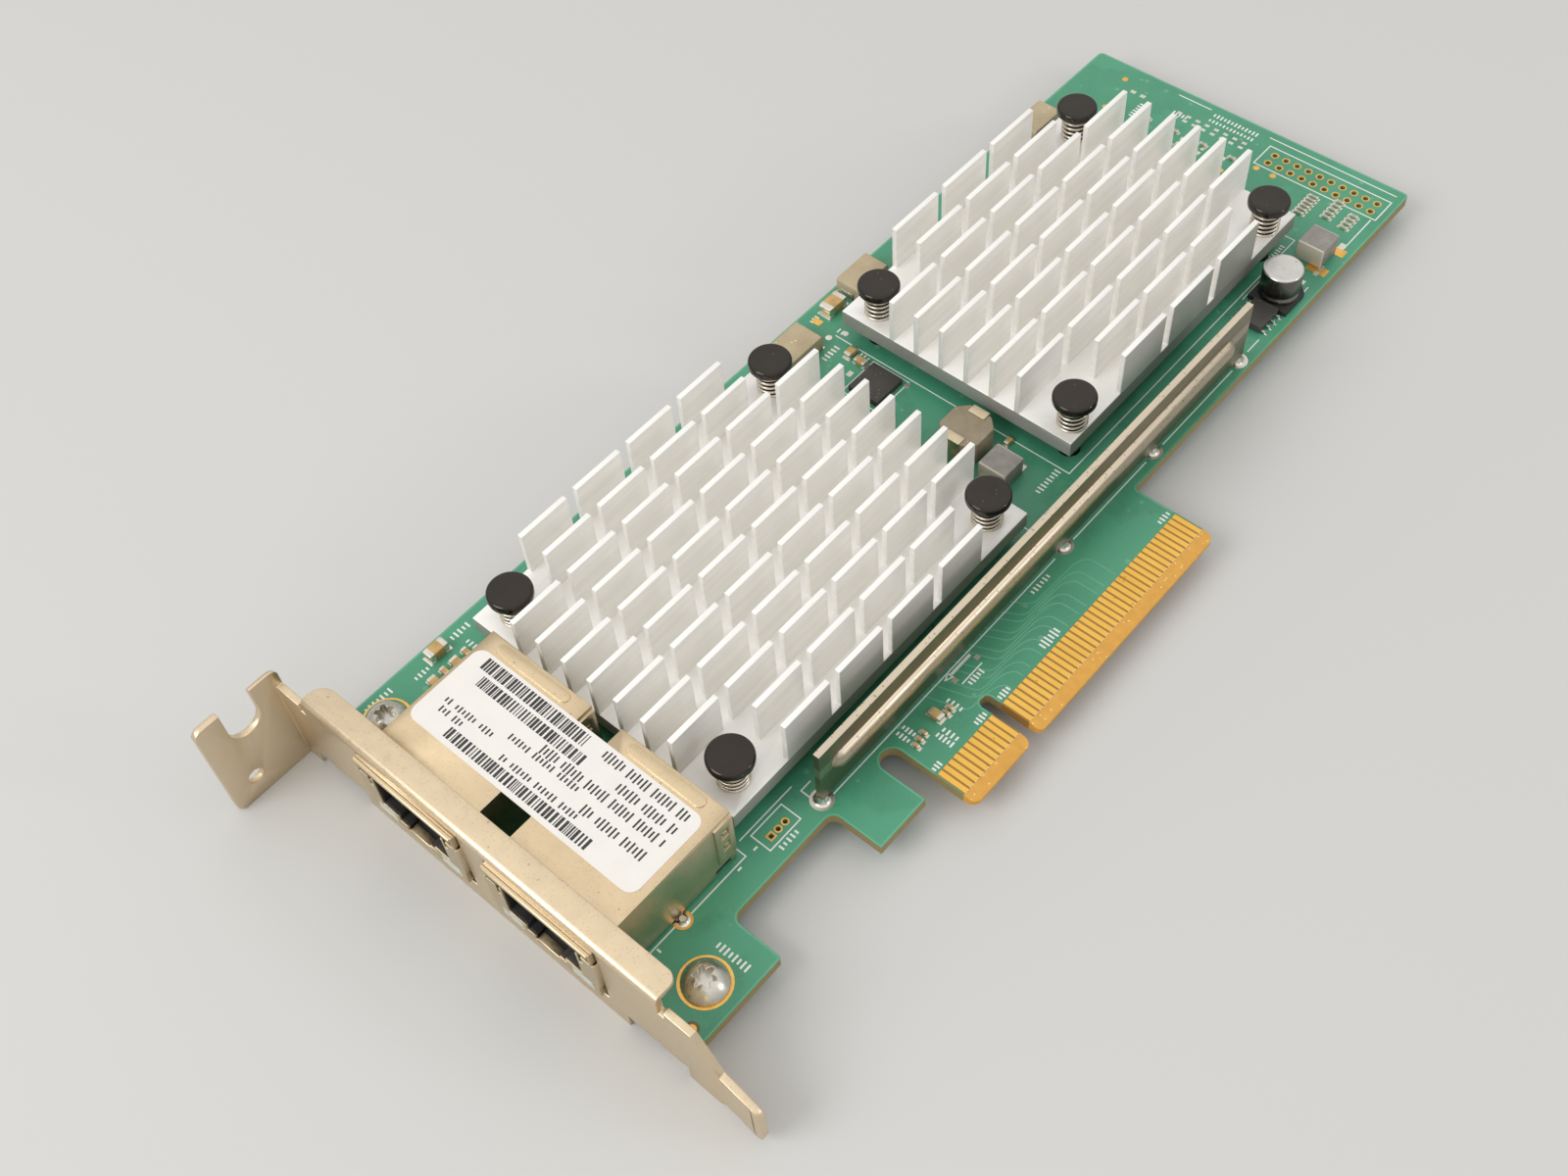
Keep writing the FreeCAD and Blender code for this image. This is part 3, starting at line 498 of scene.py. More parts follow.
# Milled aluminium: lines along the fins, painted light on the flat tops, a painted dark reflection on an outer
# face towards the tail, and painted shade on the sides of the base
def sinkMaterial():
    outerFace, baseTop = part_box("heat_sink_far")[0][1] + 0.4 * mm, 5.25 * mm
    paintedDarkFrom, paintedDarkTo = 58 * mm, 80 * mm
    material, shader, place = startMaterial("milledAluminium", Metallic=0.3)
    where, facing = partsOf(place), facingOf(place)
    grain = grainAt(place, (0.05, 1, 1), 1100.0)
    tone = mixColours(mottleAt(place, 90.0, 0.5), (0.97, 0.955, 0.92), (0.91, 0.89, 0.85))
    tone = mixColours(rangeOf(grain["Shade"], 0.3, 0.72, 0.0, 0.24), tone, (0.62, 0.60, 0.56))
    # painted light: faces that look upward are made paler
    tone = mixColours(times(rangeOf(facing["Z"], 0.3, 0.9), 0.75), tone, (0.97, 0.96, 0.935))
    # painted reflection: the outermost face turns dark green towards the tail, standing for the board it mirrors
    outer = times(calc("LESS_THAN", facing["Y"], -0.9), calc("LESS_THAN", where["Y"], outerFace))
    outer = times(outer, rangeOf(where["X"], paintedDarkFrom, paintedDarkTo, 0.0, 0.85))
    tone = mixColours(outer, tone, (0.26, 0.28, 0.23))
    # painted shade: the upright sides of the base, below the fins, are darkened
    paintedBaseShade = times(calc("LESS_THAN", where["Z"], baseTop), rangeOf(facing["Z"], 0.4, 0.1))
    tone = mixColours(times(paintedBaseShade, 0.8), tone, (0.27, 0.27, 0.235))
    feed(shader, Base_Color=tone, Roughness=rangeOf(grain["Fine"], 0.2, 0.8, 0.36, 0.52),
         Normal=bumped(grain["Fine"], 0.12))
    return material


# Board: green solder mask over copper, bare brown laminate between the contacts, amber bevel at the tongue,
# tan cut edges with thin layers
def boardMaterial():
    bevelEnd, bareEnd, tongueFrom, tongueTo = 1.82 * mm, 6.02 * mm, -0.5 * mm, 50.5 * mm
    material, shader, place = startMaterial("solderMask", IOR=1.5)
    where = partsOf(place)
    flat = rangeOf(calc("ABSOLUTE", facingOf(place)["Z"]), 0.5, 0.6)
    mottle = mottleAt(place, 160.0)
    green = mixColours(mottle, (0.058, 0.268, 0.155), (0.072, 0.315, 0.185))
    copper = rangeOf(mottleAt(place, 38.0), 0.46, 0.54, 0.0, 0.55)
    green = mixColours(copper, green, (0.082, 0.352, 0.210))
    weave = put(place.id_data, "ShaderNodeTexChecker", {"Vector": place, "Scale": 2400.0}).outputs["Fac"]
    green = mixColours(times(weave, 0.10), green, (0.08, 0.36, 0.22))
    vias = specksAt(place, 420.0, 0.16, 0.62)
    green = mixColours(times(vias, 0.45), green, (0.20, 0.46, 0.29))
    layers = put(place.id_data, "ShaderNodeTexWave", {"Vector": place, "Scale": 1000.0, "Distortion": 1.5},
                 wave_type="BANDS", bands_direction="Z").outputs["Fac"]
    tan = mixColours(layers, (0.44, 0.30, 0.12), (0.28, 0.20, 0.08))
    fibre = noiseAt(place, 900.0, 3.0)
    tan = mixColours(times(fibre, 0.5), tan, (0.14, 0.20, 0.09))
    tone = mixColours(flat, tan, green)
    onTongue = times(calc("GREATER_THAN", where["X"], tongueFrom), calc("LESS_THAN", where["X"], tongueTo))
    bare = times(onTongue, calc("LESS_THAN", where["Y"], bareEnd))
    tone = mixColours(bare, tone, (0.34, 0.17, 0.035))
    onBevel = calc("LESS_THAN", where["Y"], bevelEnd)
    amber = mixColours(fibre, (0.80, 0.42, 0.07), (0.56, 0.28, 0.045))
    amber = mixColours(specksAt(place, 2600.0, 0.3, 0.86), amber, (0.95, 0.66, 0.26))
    tone = mixColours(onBevel, tone, amber)
    rough = plus(plus(times(flat, -0.36), 0.62), times(mottle, 0.06))
    rough = plus(rough, times(onBevel, 0.2))
    height = plus(plus(times(weave, 0.3), mottle), times(copper, 1.5))
    feed(shader, Base_Color=tone, Roughness=rough, Normal=bumped(height, 0.12, 0.03 * mm))
    return material


# Finishes: the colour, its stain or paler part, the roughness and, where given, the scale of the grain; a chip's
# finish has the mark where its plated cap begins in place of the roughness
# painted shade: the sides colour darkens the bracket's upright faces
bracketMetal = sheetMetal("bracketSteel", (0.90, 0.74, 0.52), (0.80, 0.65, 0.45), 0.34, 700.0, (1, 0.7, 0.7),
                          bump=0.35, dusty=0.97, pitted=0.32, sides=(0.72, 0.60, 0.43))
# painted reflection: the sides colour darkens the shells' upright sides, standing for the dark green board they
# reflect
shellMetal = sheetMetal("jackShellSteel", (0.85, 0.68, 0.45), (0.73, 0.58, 0.37), 0.34, 600.0, (1, 0.5, 0.5),
                        bump=0.15, dusty=0.97, pitted=0.22, sides=(0.60, 0.51, 0.35))
goldMetal = sheetMetal("goldPlate", (0.97, 0.60, 0.13), (0.88, 0.49, 0.08), 0.24, 1500.0, (1, 0.06, 1),
                       bump=0.06)
springMetal = sheetMetal("springWire", (0.80, 0.74, 0.64), (0.58, 0.50, 0.40), 0.22, 1800.0)
screwMetal = sheetMetal("screwSteel", (0.74, 0.71, 0.64), (0.55, 0.52, 0.44), 0.24, 1500.0)
clipMetal = sheetMetal("tinnedClip", (0.80, 0.69, 0.50), (0.60, 0.48, 0.30), 0.30, 900.0, bump=0.1)
solderMetal = sheetMetal("brightSolder", (0.84, 0.82, 0.76), (0.64, 0.61, 0.54), 0.20, 1200.0, bump=0.15)
# painted reflection: the can's upright side is near black, standing for the dark surroundings it reflects
canMetal = sheetMetal("canAluminium", (0.76, 0.75, 0.72), (0.60, 0.58, 0.55), 0.25, 900.0,
                      sides=(0.16, 0.15, 0.13))
blackPlastic = mouldedPlastic("blackMoulding", (0.012, 0.012, 0.013), (0.024, 0.023, 0.022), 0.42)
chipPlastic = mouldedPlastic("chipPackage", (0.046, 0.042, 0.039), (0.072, 0.066, 0.061), 0.5)
# painted reflection: the warm specular tint gives the pin heads' reflection the warm colour of a room
pinPlastic = mouldedPlastic("glossyPin", (0.010, 0.008, 0.007), (0.018, 0.015, 0.012), 0.06, 700.0, 0.04,
                            Specular_Tint=(1.0, 0.90, 0.80, 1))
khakiFerrite = mouldedPlastic("khakiFerrite", (0.25, 0.20, 0.13), (0.36, 0.30, 0.21), 0.55)
tanPlastic = mouldedPlastic("tanMoulding", (0.42, 0.33, 0.20), (0.52, 0.43, 0.28), 0.42)
padRubber = mouldedPlastic("thermalPad", (0.30, 0.30, 0.31), (0.40, 0.40, 0.41), 0.7)
lensPlastic = mouldedPlastic("lightLens", (0.50, 0.54, 0.48), (0.62, 0.66, 0.60), 0.25)
ceramicFinish = chipMaterial("tanCeramic", (0.40, 0.27, 0.11), (0.66, 0.42, 0.15), 0.50)
resistorFinish = chipMaterial("darkFilm", (0.03, 0.03, 0.03), (0.07, 0.065, 0.06), 0.6)
blockFinish = chipMaterial("greyFerrite", (0.22, 0.21, 0.19), (0.32, 0.30, 0.27), 0.9, 0.1)
labelPaper = flatFinish("labelFilm", (0.79, 0.76, 0.72), (0.83, 0.80, 0.76), 0.42, 260.0)
labelInk = flatFinish("labelInk", (0.022, 0.021, 0.022), (0.05, 0.048, 0.048), 0.5, 1500.0)
silkInk = flatFinish("silkInk", (0.78, 0.82, 0.76), (0.88, 0.89, 0.85), 0.5, 1500.0)
traceMask = flatFinish("traceMask", (0.115, 0.39, 0.245), (0.14, 0.44, 0.28), 0.26, 400.0)
goldFlat = flatFinish("goldRing", (0.96, 0.58, 0.16), (0.84, 0.47, 0.11), 0.30, metallic=1.0)
tinFlat = flatFinish("tinnedPad", (0.86, 0.82, 0.74), (0.70, 0.66, 0.58), 0.30, metallic=1.0)
laminate = flatFinish("bareLaminate", (0.16, 0.11, 0.05), (0.22, 0.15, 0.07), 0.6)
sinkMetal = sinkMaterial()
stiffenerMetal = stiffenerMaterial()
boardMask = boardMaterial()
print("materials made:", len(bpy.data.materials))

# CAD nodes that keep their own mesh
plainNodes = {
    "board": boardMask, "edge_contacts": goldMetal, "label": labelPaper,
    "jack_contacts_near": goldMetal, "jack_contacts_far": goldMetal,
    "jack_pins_near": solderMetal, "jack_pins_far": solderMetal,
    "thermal_pad_near": padRubber, "thermal_pad_far": padRubber,
    "jack_magnetics_near": blackPlastic, "jack_magnetics_far": blackPlastic,
}
for nodeName, material in plainNodes.items():
    data = nodes[nodeName].data
    data.materials.clear()
    data.materials.append(material)

# CAD nodes whose edges are rounded over, with the rounding in mm
softened = {
    "bracket": (0.10, bracketMetal, "bracket_steel"),
    "jack_shell_near": (0.05, shellMetal, "tinned_shell"), "jack_shell_far": (0.05, shellMetal, "tinned_shell"),
    "heat_sink_near": (0.08, sinkMetal, "sink_aluminium"), "heat_sink_far": (0.08, sinkMetal, "sink_aluminium"),
    "jack_insert_near": (0.10, blackPlastic, "black_moulding"),
    "jack_insert_far": (0.10, blackPlastic, "black_moulding"),
    "jack_lights": (0.10, lensPlastic, "light_lens"),
    "chip_near": (0.08, chipPlastic, "chip_body"), "chip_far": (0.08, chipPlastic, "chip_body"),
    "power_inductor": (0.15, khakiFerrite, "ferrite"), "power_inductor_terminals": (0.04, clipMetal, "solder"),
    "can_seat": (0.10, blackPlastic, "black_moulding"),
    "moulded_capacitors": (0.10, tanPlastic, "tan_moulding"),
    "moulded_capacitor_leads": (0.04, solderMetal, "solder"), "power_chip": (0.08, chipPlastic, "chip_body"),
    "regulator": (0.08, chipPlastic, "chip_body"), "regulator_legs": (0.03, solderMetal, "solder"),
}
for nodeName, (width, material, slotName) in softened.items():
    roundedCopy(nodeName, nodeName + "Finished", width, material, slotName)
print("CAD pieces finished:", len(plainNodes) + len(softened))

# Stiffener: an upright strip with a pressed bead and four feet
barLow, barHigh = boxOf("stiffener")
bar = {"face": 14.15, "thick": 0.9, "foot": 1.0, "beadFrom": -10.2, "beadTo": 75.0, "beadHeight": 6.6,
       "radius": 1.6, "sunk": 0.5, "backRadius": 1.0, "backSunk": 0.1, "blend": 0.22, "endSteps": 14,
       "steps": 60, "rowsBelow": (2.5, 4.2), "beadRows": (4.7, 8.5, 33), "rowsAbove": (9.0, 10.0),
       "feet": (-11.9, 36.96, 57.5, 78.6), "footWide": 0.9, "footThick": 0.7, "footTop": 1.3}


# The front stands out from the strip by the height of a round-ended rod sunk into it, eased where the two meet;
# the back is drawn in by the same rule with a smaller rod, and the four edges join the two faces
def barSurface():
    s = bar
    ends = np.linspace(0, s["radius"] + 0.4, s["endSteps"])
    middle = np.linspace(s["beadFrom"] + 2.6, s["beadTo"] - 2.6, s["steps"])
    x = np.concatenate([[barLow[0]], s["beadFrom"] - 0.3 + ends, middle, s["beadTo"] + 0.3 - ends[::-1],
                        [barHigh[0]]])
    z = [s["foot"], *s["rowsBelow"], *np.linspace(*s["beadRows"]), *s["rowsAbove"], barHigh[2]]
    along, tall = np.meshgrid(x, z, indexing="ij")
    blended = lambda out: (out + np.sqrt(out ** 2 + s["blend"] ** 2)) / 2

    def rise(radius, sunk):
        past = np.maximum(0, np.maximum(s["beadFrom"] + s["radius"] - along, along - s["beadTo"] + s["radius"]))
        out = np.sqrt(np.maximum(0, radius ** 2 - past ** 2 - (tall - s["beadHeight"]) ** 2)) - sunk
        return blended(out) - blended(-sunk)

    front = np.stack([along, s["face"] - rise(s["radius"], s["sunk"]), tall], -1)
    back = np.stack([along, s["face"] + s["thick"] - rise(s["backRadius"], s["backSunk"]), tall], -1)
    faces = np.concatenate([front, back[:, ::-1]], 1)
    ends = faces[[0, -1]].mean(1, keepdims=True).repeat(faces.shape[1], 1)
    faces = np.concatenate([ends[:1], faces, ends[1:]])
    return faces.reshape(-1, 3), gridQuads(len(faces), faces.shape[1])


feet = slabs([(x, bar["face"] + bar["thick"] / 2, bar["footWide"], bar["footThick"]) for x in bar["feet"]],
             barLow[2], bar["footTop"])
addPiece("stiffenerFinished", joined([barSurface(), feet]), stiffenerMetal, ("stiffener",),
         35)
print("stiffener shaped")

# Push pins and their springs, in mm
pinShape = {"headRadius": 3.05, "headTop": 11.0, "headHeight": 1.3, "round": 0.5, "underRound": 0.25,
            "shank": 1.4, "barb": 1.95, "barbTop": -1.72, "barbEdge": -1.9, "tip": -4.12, "tipRadius": 1.1,
            "slit": 0.7, "slitTop": -0.6}
springShape = {"radius": 1.92, "wire": 0.21, "turns": 6.2, "foot": 5.3, "top": 9.7, "steps": 200, "sides": 8,
               "closed": 0.10}


# Pin: its profile is turned whole down to the slit, and each half barb is a turned shape held to its own side
# of the slit, with x no nearer than half the slit
def pinSurface():
    s = pinShape
    seat = s["headTop"] - s["headHeight"]
    edge = arcPoints(s["headRadius"] - s["round"], s["headTop"] - s["round"], s["round"], 90, 0, 8)
    under = arcPoints(s["headRadius"] - s["underRound"], seat + s["underRound"], s["underRound"], 0, -90, 5)
    dish = [(0, s["headTop"] - 0.06), (1.2, s["headTop"] - 0.055), (2.1, s["headTop"] - 0.03)]
    shank = [(s["shank"], seat), (s["shank"], s["slitTop"]), (0, s["slitTop"])]
    whole = turnedSurface(np.concatenate([dish, edge, under, shank]), 48)
    barb = [(0, s["slitTop"]), (s["shank"], s["slitTop"]), (s["shank"], s["barbTop"]),
            (s["barb"], s["barbEdge"]), (s["tipRadius"] + 0.2, s["tip"] + 0.15), (s["tipRadius"], s["tip"]),
            (0, s["tip"])]
    points, quads = turnedSurface(barb, 32)
    right, left = points.copy(), points.copy()
    right[:, 0] = np.maximum(points[:, 0], s["slit"] / 2)
    left[:, 0] = np.minimum(points[:, 0], -s["slit"] / 2)
    return joined([whole, (right, quads), (left, quads)])


# Coil: a point goes round the axis while its height eases in and out, and a small circle, which narrows to
# almost nothing at both ends, is carried along it
def coilSurface():
    s = springShape
    t = np.linspace(0, 1, s["steps"])[:, None]
    climb = np.clip((t - s["closed"]) / (1 - 2 * s["closed"]), 0, 1)
    climb = climb * 0.9 + 0.05 * (1 - np.cos(np.pi * t))
    climb = (climb - climb[0]) / (climb[-1] - climb[0])
    low, high = s["foot"] + s["wire"], s["top"] - s["wire"]
    around = 2 * np.pi * s["turns"] * t
    turn = np.linspace(0, 2 * np.pi, s["sides"], endpoint=False)[None]
    thin = np.clip(np.minimum(t, 1 - t) / 0.004, 0.01, 1)
    out = s["radius"] + s["wire"] * thin * np.cos(turn)
    height = low + (high - low) * climb + s["wire"] * thin * np.sin(turn)
    points = np.stack([out * np.cos(around), out * np.sin(around), height], -1).reshape(-1, 3)
    return points, gridQuads(s["steps"], s["sides"])


for side in ("near", "far"):
    places = planMiddles("push_pins_" + side)
    addPiece("pushPins" + side.title(), repeatAt(*pinSurface(), places), pinPlastic,
             ("push_pins_" + side,), 35)
    addPiece("pinSprings" + side.title(), repeatAt(*coilSurface(), places), springMetal,
             ("pin_springs_" + side,), 60)
print("pins and springs made")

# Bracket screws, in mm
screwShape = {"head": 2.9, "dome": 1.9, "rim": 0.35, "floor": 0.4, "lobe": 1.18, "wave": 0.32, "lobes": 6,
              "shank": 1.42, "thread": 0.22, "pitch": 0.5, "end": -4.1, "endRadius": 1.0, "chamfer": 0.3,
              "around": 72, "threadRows": 68}


# Screw: the recess wall is a circle whose radius waves six times round, the dome falls off with the distance
# from the axis to the power 2.4, and the shank's radius is a saw-tooth of height less angle over a turn
def screwSurface():
    s = screwShape
    angle = np.linspace(0, 2 * np.pi, s["around"], endpoint=False)[None]
    lobe = s["lobe"] + s["wave"] * np.cos(s["lobes"] * angle)
    dome = lambda r: s["rim"] + (s["dome"] - s["rim"]) * (1 - (r / s["head"]) ** 2.4)
    rows = [(lobe * part, s["floor"]) for part in (0.0, 0.35, 0.7, 0.96)]
    rows += [(lobe * (1.0 + 0.02 * part), s["floor"] + (dome(lobe) - 0.05 - s["floor"]) * part)
             for part in (0.0, 0.5, 1.0)]
    for part in (0.06, 0.2, 0.4, 0.6, 0.8, 0.93, 1.0):
        r = lobe + (s["head"] - lobe) * part
        rows.append((r, dome(r)))
    rows.append((s["head"], 0.0))
    for height in np.linspace(0.0, s["end"] + s["chamfer"], s["threadRows"]):
        turned = (height / s["pitch"] - angle / (2 * np.pi)) % 1.0
        rows.append((s["shank"] - s["thread"] * np.abs(2 * turned - 1), height))
    rows += [(s["endRadius"], s["end"]), (0.0, s["end"])]
    r, z = [np.concatenate([row[part] + 0 * angle for row in rows]) for part in (0, 1)]
    points = np.stack([r * np.cos(angle), r * np.sin(angle), z], -1).reshape(-1, 3)
    return points, gridQuads(len(rows), s["around"])


addPiece("bracketScrews", repeatAt(*screwSurface(), planMiddles("bracket_screws")), screwMetal,
         ("bracket_screws",), 30)

solderShape = {"narrow": 0.62, "sweep": 0.55, "climb": 1.7, "lumpRound": 0.03, "lumpTall": 0.04, "around": 28}


# Solder joint: a skirt that climbs steeply towards the leg by powers of the way up, a little lumpy round it
def solderSurface(low, high, below):
    s = solderShape
    middle = (low + high) / 2
    radius = max(high[:2] - low[:2]) / 2
    height = high[2] - low[2]
    climb = np.linspace(0, 1, 9)[:, None]
    angle = np.linspace(0, 2 * np.pi, s["around"], endpoint=False)[None]
    lump = 1 + s["lumpRound"] * np.sin(3 * angle + low[0]) * (1 - climb)
    spread = radius * (1 - s["narrow"] * climb ** s["sweep"]) * lump
    rise = np.minimum(height * climb ** s["climb"] * (1 + s["lumpTall"] * np.sin(2 * angle + low[1])), height)
    outward = np.concatenate([spread, 0 * angle])
    tall = np.concatenate([rise, height + 0 * angle]) * (-1 if below else 1)
    foot = np.array([middle[0], middle[1], high[2] if below else low[2]])
    points = np.stack([outward * np.cos(angle), outward * np.sin(angle), tall], -1)
    return points.reshape(-1, 3) + foot, gridQuads(len(outward), s["around"])


joints = solidBoxes("solder_joints")
addPiece("solderJoints", joined([solderSurface(low, high, high[2] < 0) for low, high in joints]), solderMetal,
         ("solder_joints",), 60)

# Small chips: how square each kind is, as a power, and where and how low the pale glazed arrays of the tail lie
chips = {"square": 0.16, "blockSquare": 0.09, "glazedFrom": 104.0, "glazedBelow": 1.0}


# Two-ended chips, with an attribute that runs from -1 to 1 between their ends and another that is 1 on the pale
# glazed arrays of the tail
def chipPiece(nodeName, name, material, power=chips["square"], acrossX=False):
    surfaces, along, glazed = [], [], []
    for low, high in solidBoxes(nodeName):
        points, quads = softBlock(low, high, power)
        size = high - low
        axis = 0 if acrossX or size[0] >= size[1] else 1
        isGlazed = low[0] > chips["glazedFrom"] and size[2] < chips["glazedBelow"]
        surfaces.append((points, quads))
        along.append((points[:, axis] - (low + high)[axis] / 2) / (size[axis] / 2))
        glazed.append(np.full(len(points), float(isGlazed)))
    addPiece(name, joined(surfaces), material, (nodeName,), 50,
             attributes={"along": np.concatenate(along), "glazed": np.concatenate(glazed)})


chipPiece("ceramic_capacitors", "ceramicChips", ceramicFinish)
chipPiece("chip_resistors", "resistorChips", resistorFinish)
chipPiece("block_inductors", "blockInductors", blockFinish, chips["blockSquare"], True)

# Can capacitor: turned shell with a crimp above the seat and a rolled top edge
canLow, canHigh = boxOf("can_capacitor")
canShape = {"radius": (canHigh[0] - canLow[0]) / 2, "foot": canLow[2], "top": canHigh[2], "crimp": 1.0,
            "roll": 0.35, "deep": 0.16, "flat": 0.12, "reach": 0.35}


def canSurface():
    s = canShape
    middle, waist = s["foot"] + s["crimp"], s["radius"] - s["deep"]
    roll = arcPoints(s["radius"] - s["roll"], s["top"] - s["roll"], s["roll"], 90, 0, 7)
    crimp = [(s["radius"], middle + s["reach"]), (waist, middle + s["flat"]), (waist, middle - s["flat"]),
             (s["radius"], middle - s["reach"])]
    end = [(s["radius"], s["foot"] + 0.1), (s["radius"] - 0.1, s["foot"]), (0, s["foot"])]
    top = [(0, s["top"] - 0.05), (1.5, s["top"] - 0.05), (2.3, s["top"] - 0.02)]
    return turnedSurface(np.concatenate([top, roll, crimp, end]), 64, (canLow + canHigh) / 2 * (1, 1, 0))


addPiece("canShell", canSurface(), canMetal, ("can_capacitor",), 40)
print("small parts made")

# Label print along Y: rows of stripes as (x, from y, to y, tall), and of plain strokes as (x, from y, to y)
labelPrint = {"stripes": [(-27.95, 36.2, 54.3, 1.75), (-30.1, 34.8, 52.8, 1.55), (-37.4, 26.5, 50.4, 1.55)],
              "rows": [(-27.8, 20.2, 34.4), (-29.9, 20.2, 30.2), (-31.9, 20.2, 40.0), (-34.5, 20.2, 30.8),
                       (-33.12, 32.6, 44.2), (-35.75, 30.2, 43.0), (-34.4, 45.6, 53.9), (-35.7, 49.5, 53.5)],
              "module": 0.14, "seed": 11, "stripeCount": 90, "tallRows": 4, "tall": 1.4, "low": 0.65,
              "pitch": 0.56, "thin": 0.25, "sunk": 0.01, "ink": 0.012}


# Stripes: bars one to three modules wide with gaps one or two modules wide, in a fixed shuffled order
def labelStripes():
    s = labelPrint
    order = np.random.default_rng(s["seed"])
    blocks = []
    for x, low, high, tall in s["stripes"]:
        wide = order.integers(1, 4, s["stripeCount"]) * s["module"]
        step = wide + order.integers(1, 3, s["stripeCount"]) * s["module"]
        ends = low + np.cumsum(step)
        keep = ends < high
        blocks.append(np.column_stack([np.full(keep.sum(), x), ends[keep] - wide[keep] / 2,
                                       np.full(keep.sum(), tall), wide[keep]]))
    return np.concatenate(blocks)


# Stroke rows: the first few tall and the rest low, every seventh stroke left out so that they fall into groups
def labelStrokes():
    s = labelPrint
    blocks = []
    for number, (x, low, high) in enumerate(s["rows"]):
        count = int((high - low) / s["pitch"])
        tall = s["tall"] * (1.0 if number < s["tallRows"] else s["low"])
        bars = strokeRow((x, low), (x, high), tall, count, s["thin"])
        blocks.append(bars[(np.arange(count) + number) % 7 != 3])
    return np.concatenate(blocks)


labelTop = boxOf("label")[1][2]
for name, spots in (("labelStripes", labelStripes()), ("labelStrokes", labelStrokes())):
    surface = slabs(spots, labelTop - labelPrint["sunk"], labelTop + labelPrint["ink"])
    thinPiece(name, surface, labelInk)
print("label printed")

# Board faces, and the height of each thin layer over them, in mm, with how far every layer is sunk
boardTop, boardFoot = 0.0, -1.57
layerHeights = {"silk": 0.02, "gold": 0.03, "tin": 0.035, "via": 0.02, "trace": 0.012, "bare": 0.012,
                "rim": 0.01}
layerSunk = 0.01


# Foot and top of a layer on the component face, or turned over on the solder face
def layer(kind, below=False):
    thick = layerHeights[kind]
    return (boardFoot + layerSunk, boardFoot - thick) if below else (boardTop - layerSunk, boardTop + thick)


# Board print on the component face: open lines and closed lines as (x, y) paths, and rows of strokes as
# (start, end, tall)
silk = {"wide": 0.18, "pitch": 0.62, "thin": 0.27,
        "open": [[(-23.4, 18.6), (-23.4, 16.68), (-33.0, 16.68)], [(-35.4, 17.0), (-41.4, 17.0)],
                 [(-22.4, 18.62), (-12.9, 18.62)], [(-10.85, 17.35), (-12.6, 17.35), (-12.6, 15.3)],
                 [(-10.9, 14.02), (34.6, 14.02)], [(38.6, 14.02), (55.4, 14.02)],
                 [(59.4, 14.02), (76.6, 14.02)], [(11.9, 13.62), (15.75, 13.62)],
                 [(11.9, 13.42), (15.75, 13.42)], [(11.65, 11.6), (15.75, 11.6)],
                 [(47.35, 62.4), (47.35, 20.95), (60.0, 20.95)], [(60.0, 20.95), (104.1, 20.95), (104.1, 36.0)],
                 [(80.9, 14.3), (83.9, 14.3)], [(90.8, 14.3), (97.0, 14.3)], [(105.9, 14.4), (114.6, 14.4)],
                 [(121.3, 13.9), (121.3, 36.0)], [(121.4, 46.7), (121.4, 52.8)], [(36.2, 19.0), (36.2, 24.5)],
                 [(35.6, 62.6), (35.6, 67.4), (38.2, 67.4)], [(89.2, 20.4), (96.3, 20.4)]],
        "closed": [[(-15.5, 18.0), (-15.5, 14.9), (-21.0, 14.9), (-21.0, 18.0)],
                   [(10.75, 13.55), (11.75, 13.95), (11.75, 13.1)],
                   [(114.95, 13.85), (119.7, 13.85), (119.7, 34.9), (114.95, 34.9)],
                   [(39.7, 48.3), (46.8, 48.3), (46.8, 54.8), (39.7, 54.8)]],
        "strokes": [((-33.8, 11.9), (-33.8, 6.8), 1.1), ((-16.8, 14.15), (-20.2, 14.15), 0.8),
                    ((-21.9, 16.75), (-21.9, 16.2), 0.9), ((-25.1, 16.35), (-25.1, 15.9), 0.9),
                    ((-38.3, 16.4), (-39.1, 16.4), 0.9), ((13.7, 15.0), (17.2, 15.0), 0.75),
                    ((12.15, 10.9), (15.0, 10.9), 0.9), ((8.65, 11.8), (8.65, 9.1), 0.9),
                    ((5.0, 9.6), (5.0, 6.9), 0.9), ((3.95, 9.7), (3.95, 6.9), 0.9),
                    ((2.15, 13.6), (2.15, 11.4), 0.8), ((1.0, 13.6), (1.0, 11.4), 0.8),
                    ((12.75, 6.75), (15.0, 6.75), 0.95), ((8.0, 6.75), (10.2, 6.75), 0.95),
                    ((-0.4, 6.75), (1.2, 6.75), 0.85), ((22.2, 7.2), (25.9, 7.2), 1.4),
                    ((47.7, 6.8), (50.2, 6.8), 0.85), ((28.1, 13.1), (32.1, 13.1), 0.8),
                    ((41.9, 22.4), (47.0, 22.4), 1.0), ((-39.2, 67.5), (-34.6, 67.5), 1.0),
                    ((-24.7, 67.2), (-21.3, 67.2), 1.0), ((-31.9, 66.2), (-29.3, 66.2), 0.8),
                    ((-23.4, 65.6), (-23.4, 62.9), 0.8), ((120.6, 45.9), (120.6, 37.6), 0.9),
                    ((119.2, 45.9), (119.2, 37.6), 0.7), ((48.4, 60.9), (48.4, 63.0), 0.8),
                    ((47.0, 66.9), (48.7, 66.9), 0.8), ((37.9, 56.6), (41.9, 56.6), 0.8),
                    ((46.7, 55.4), (46.7, 57.4), 0.7), ((39.5, 33.6), (43.2, 33.6), 0.8),
                    ((98.1, 21.7), (102.2, 21.7), 0.8), ((105.4, 62.4), (109.0, 62.4), 0.8),
                    ((112.4, 56.2), (116.2, 56.2), 0.8), ((117.4, 48.6), (117.4, 51.4), 0.8)]}

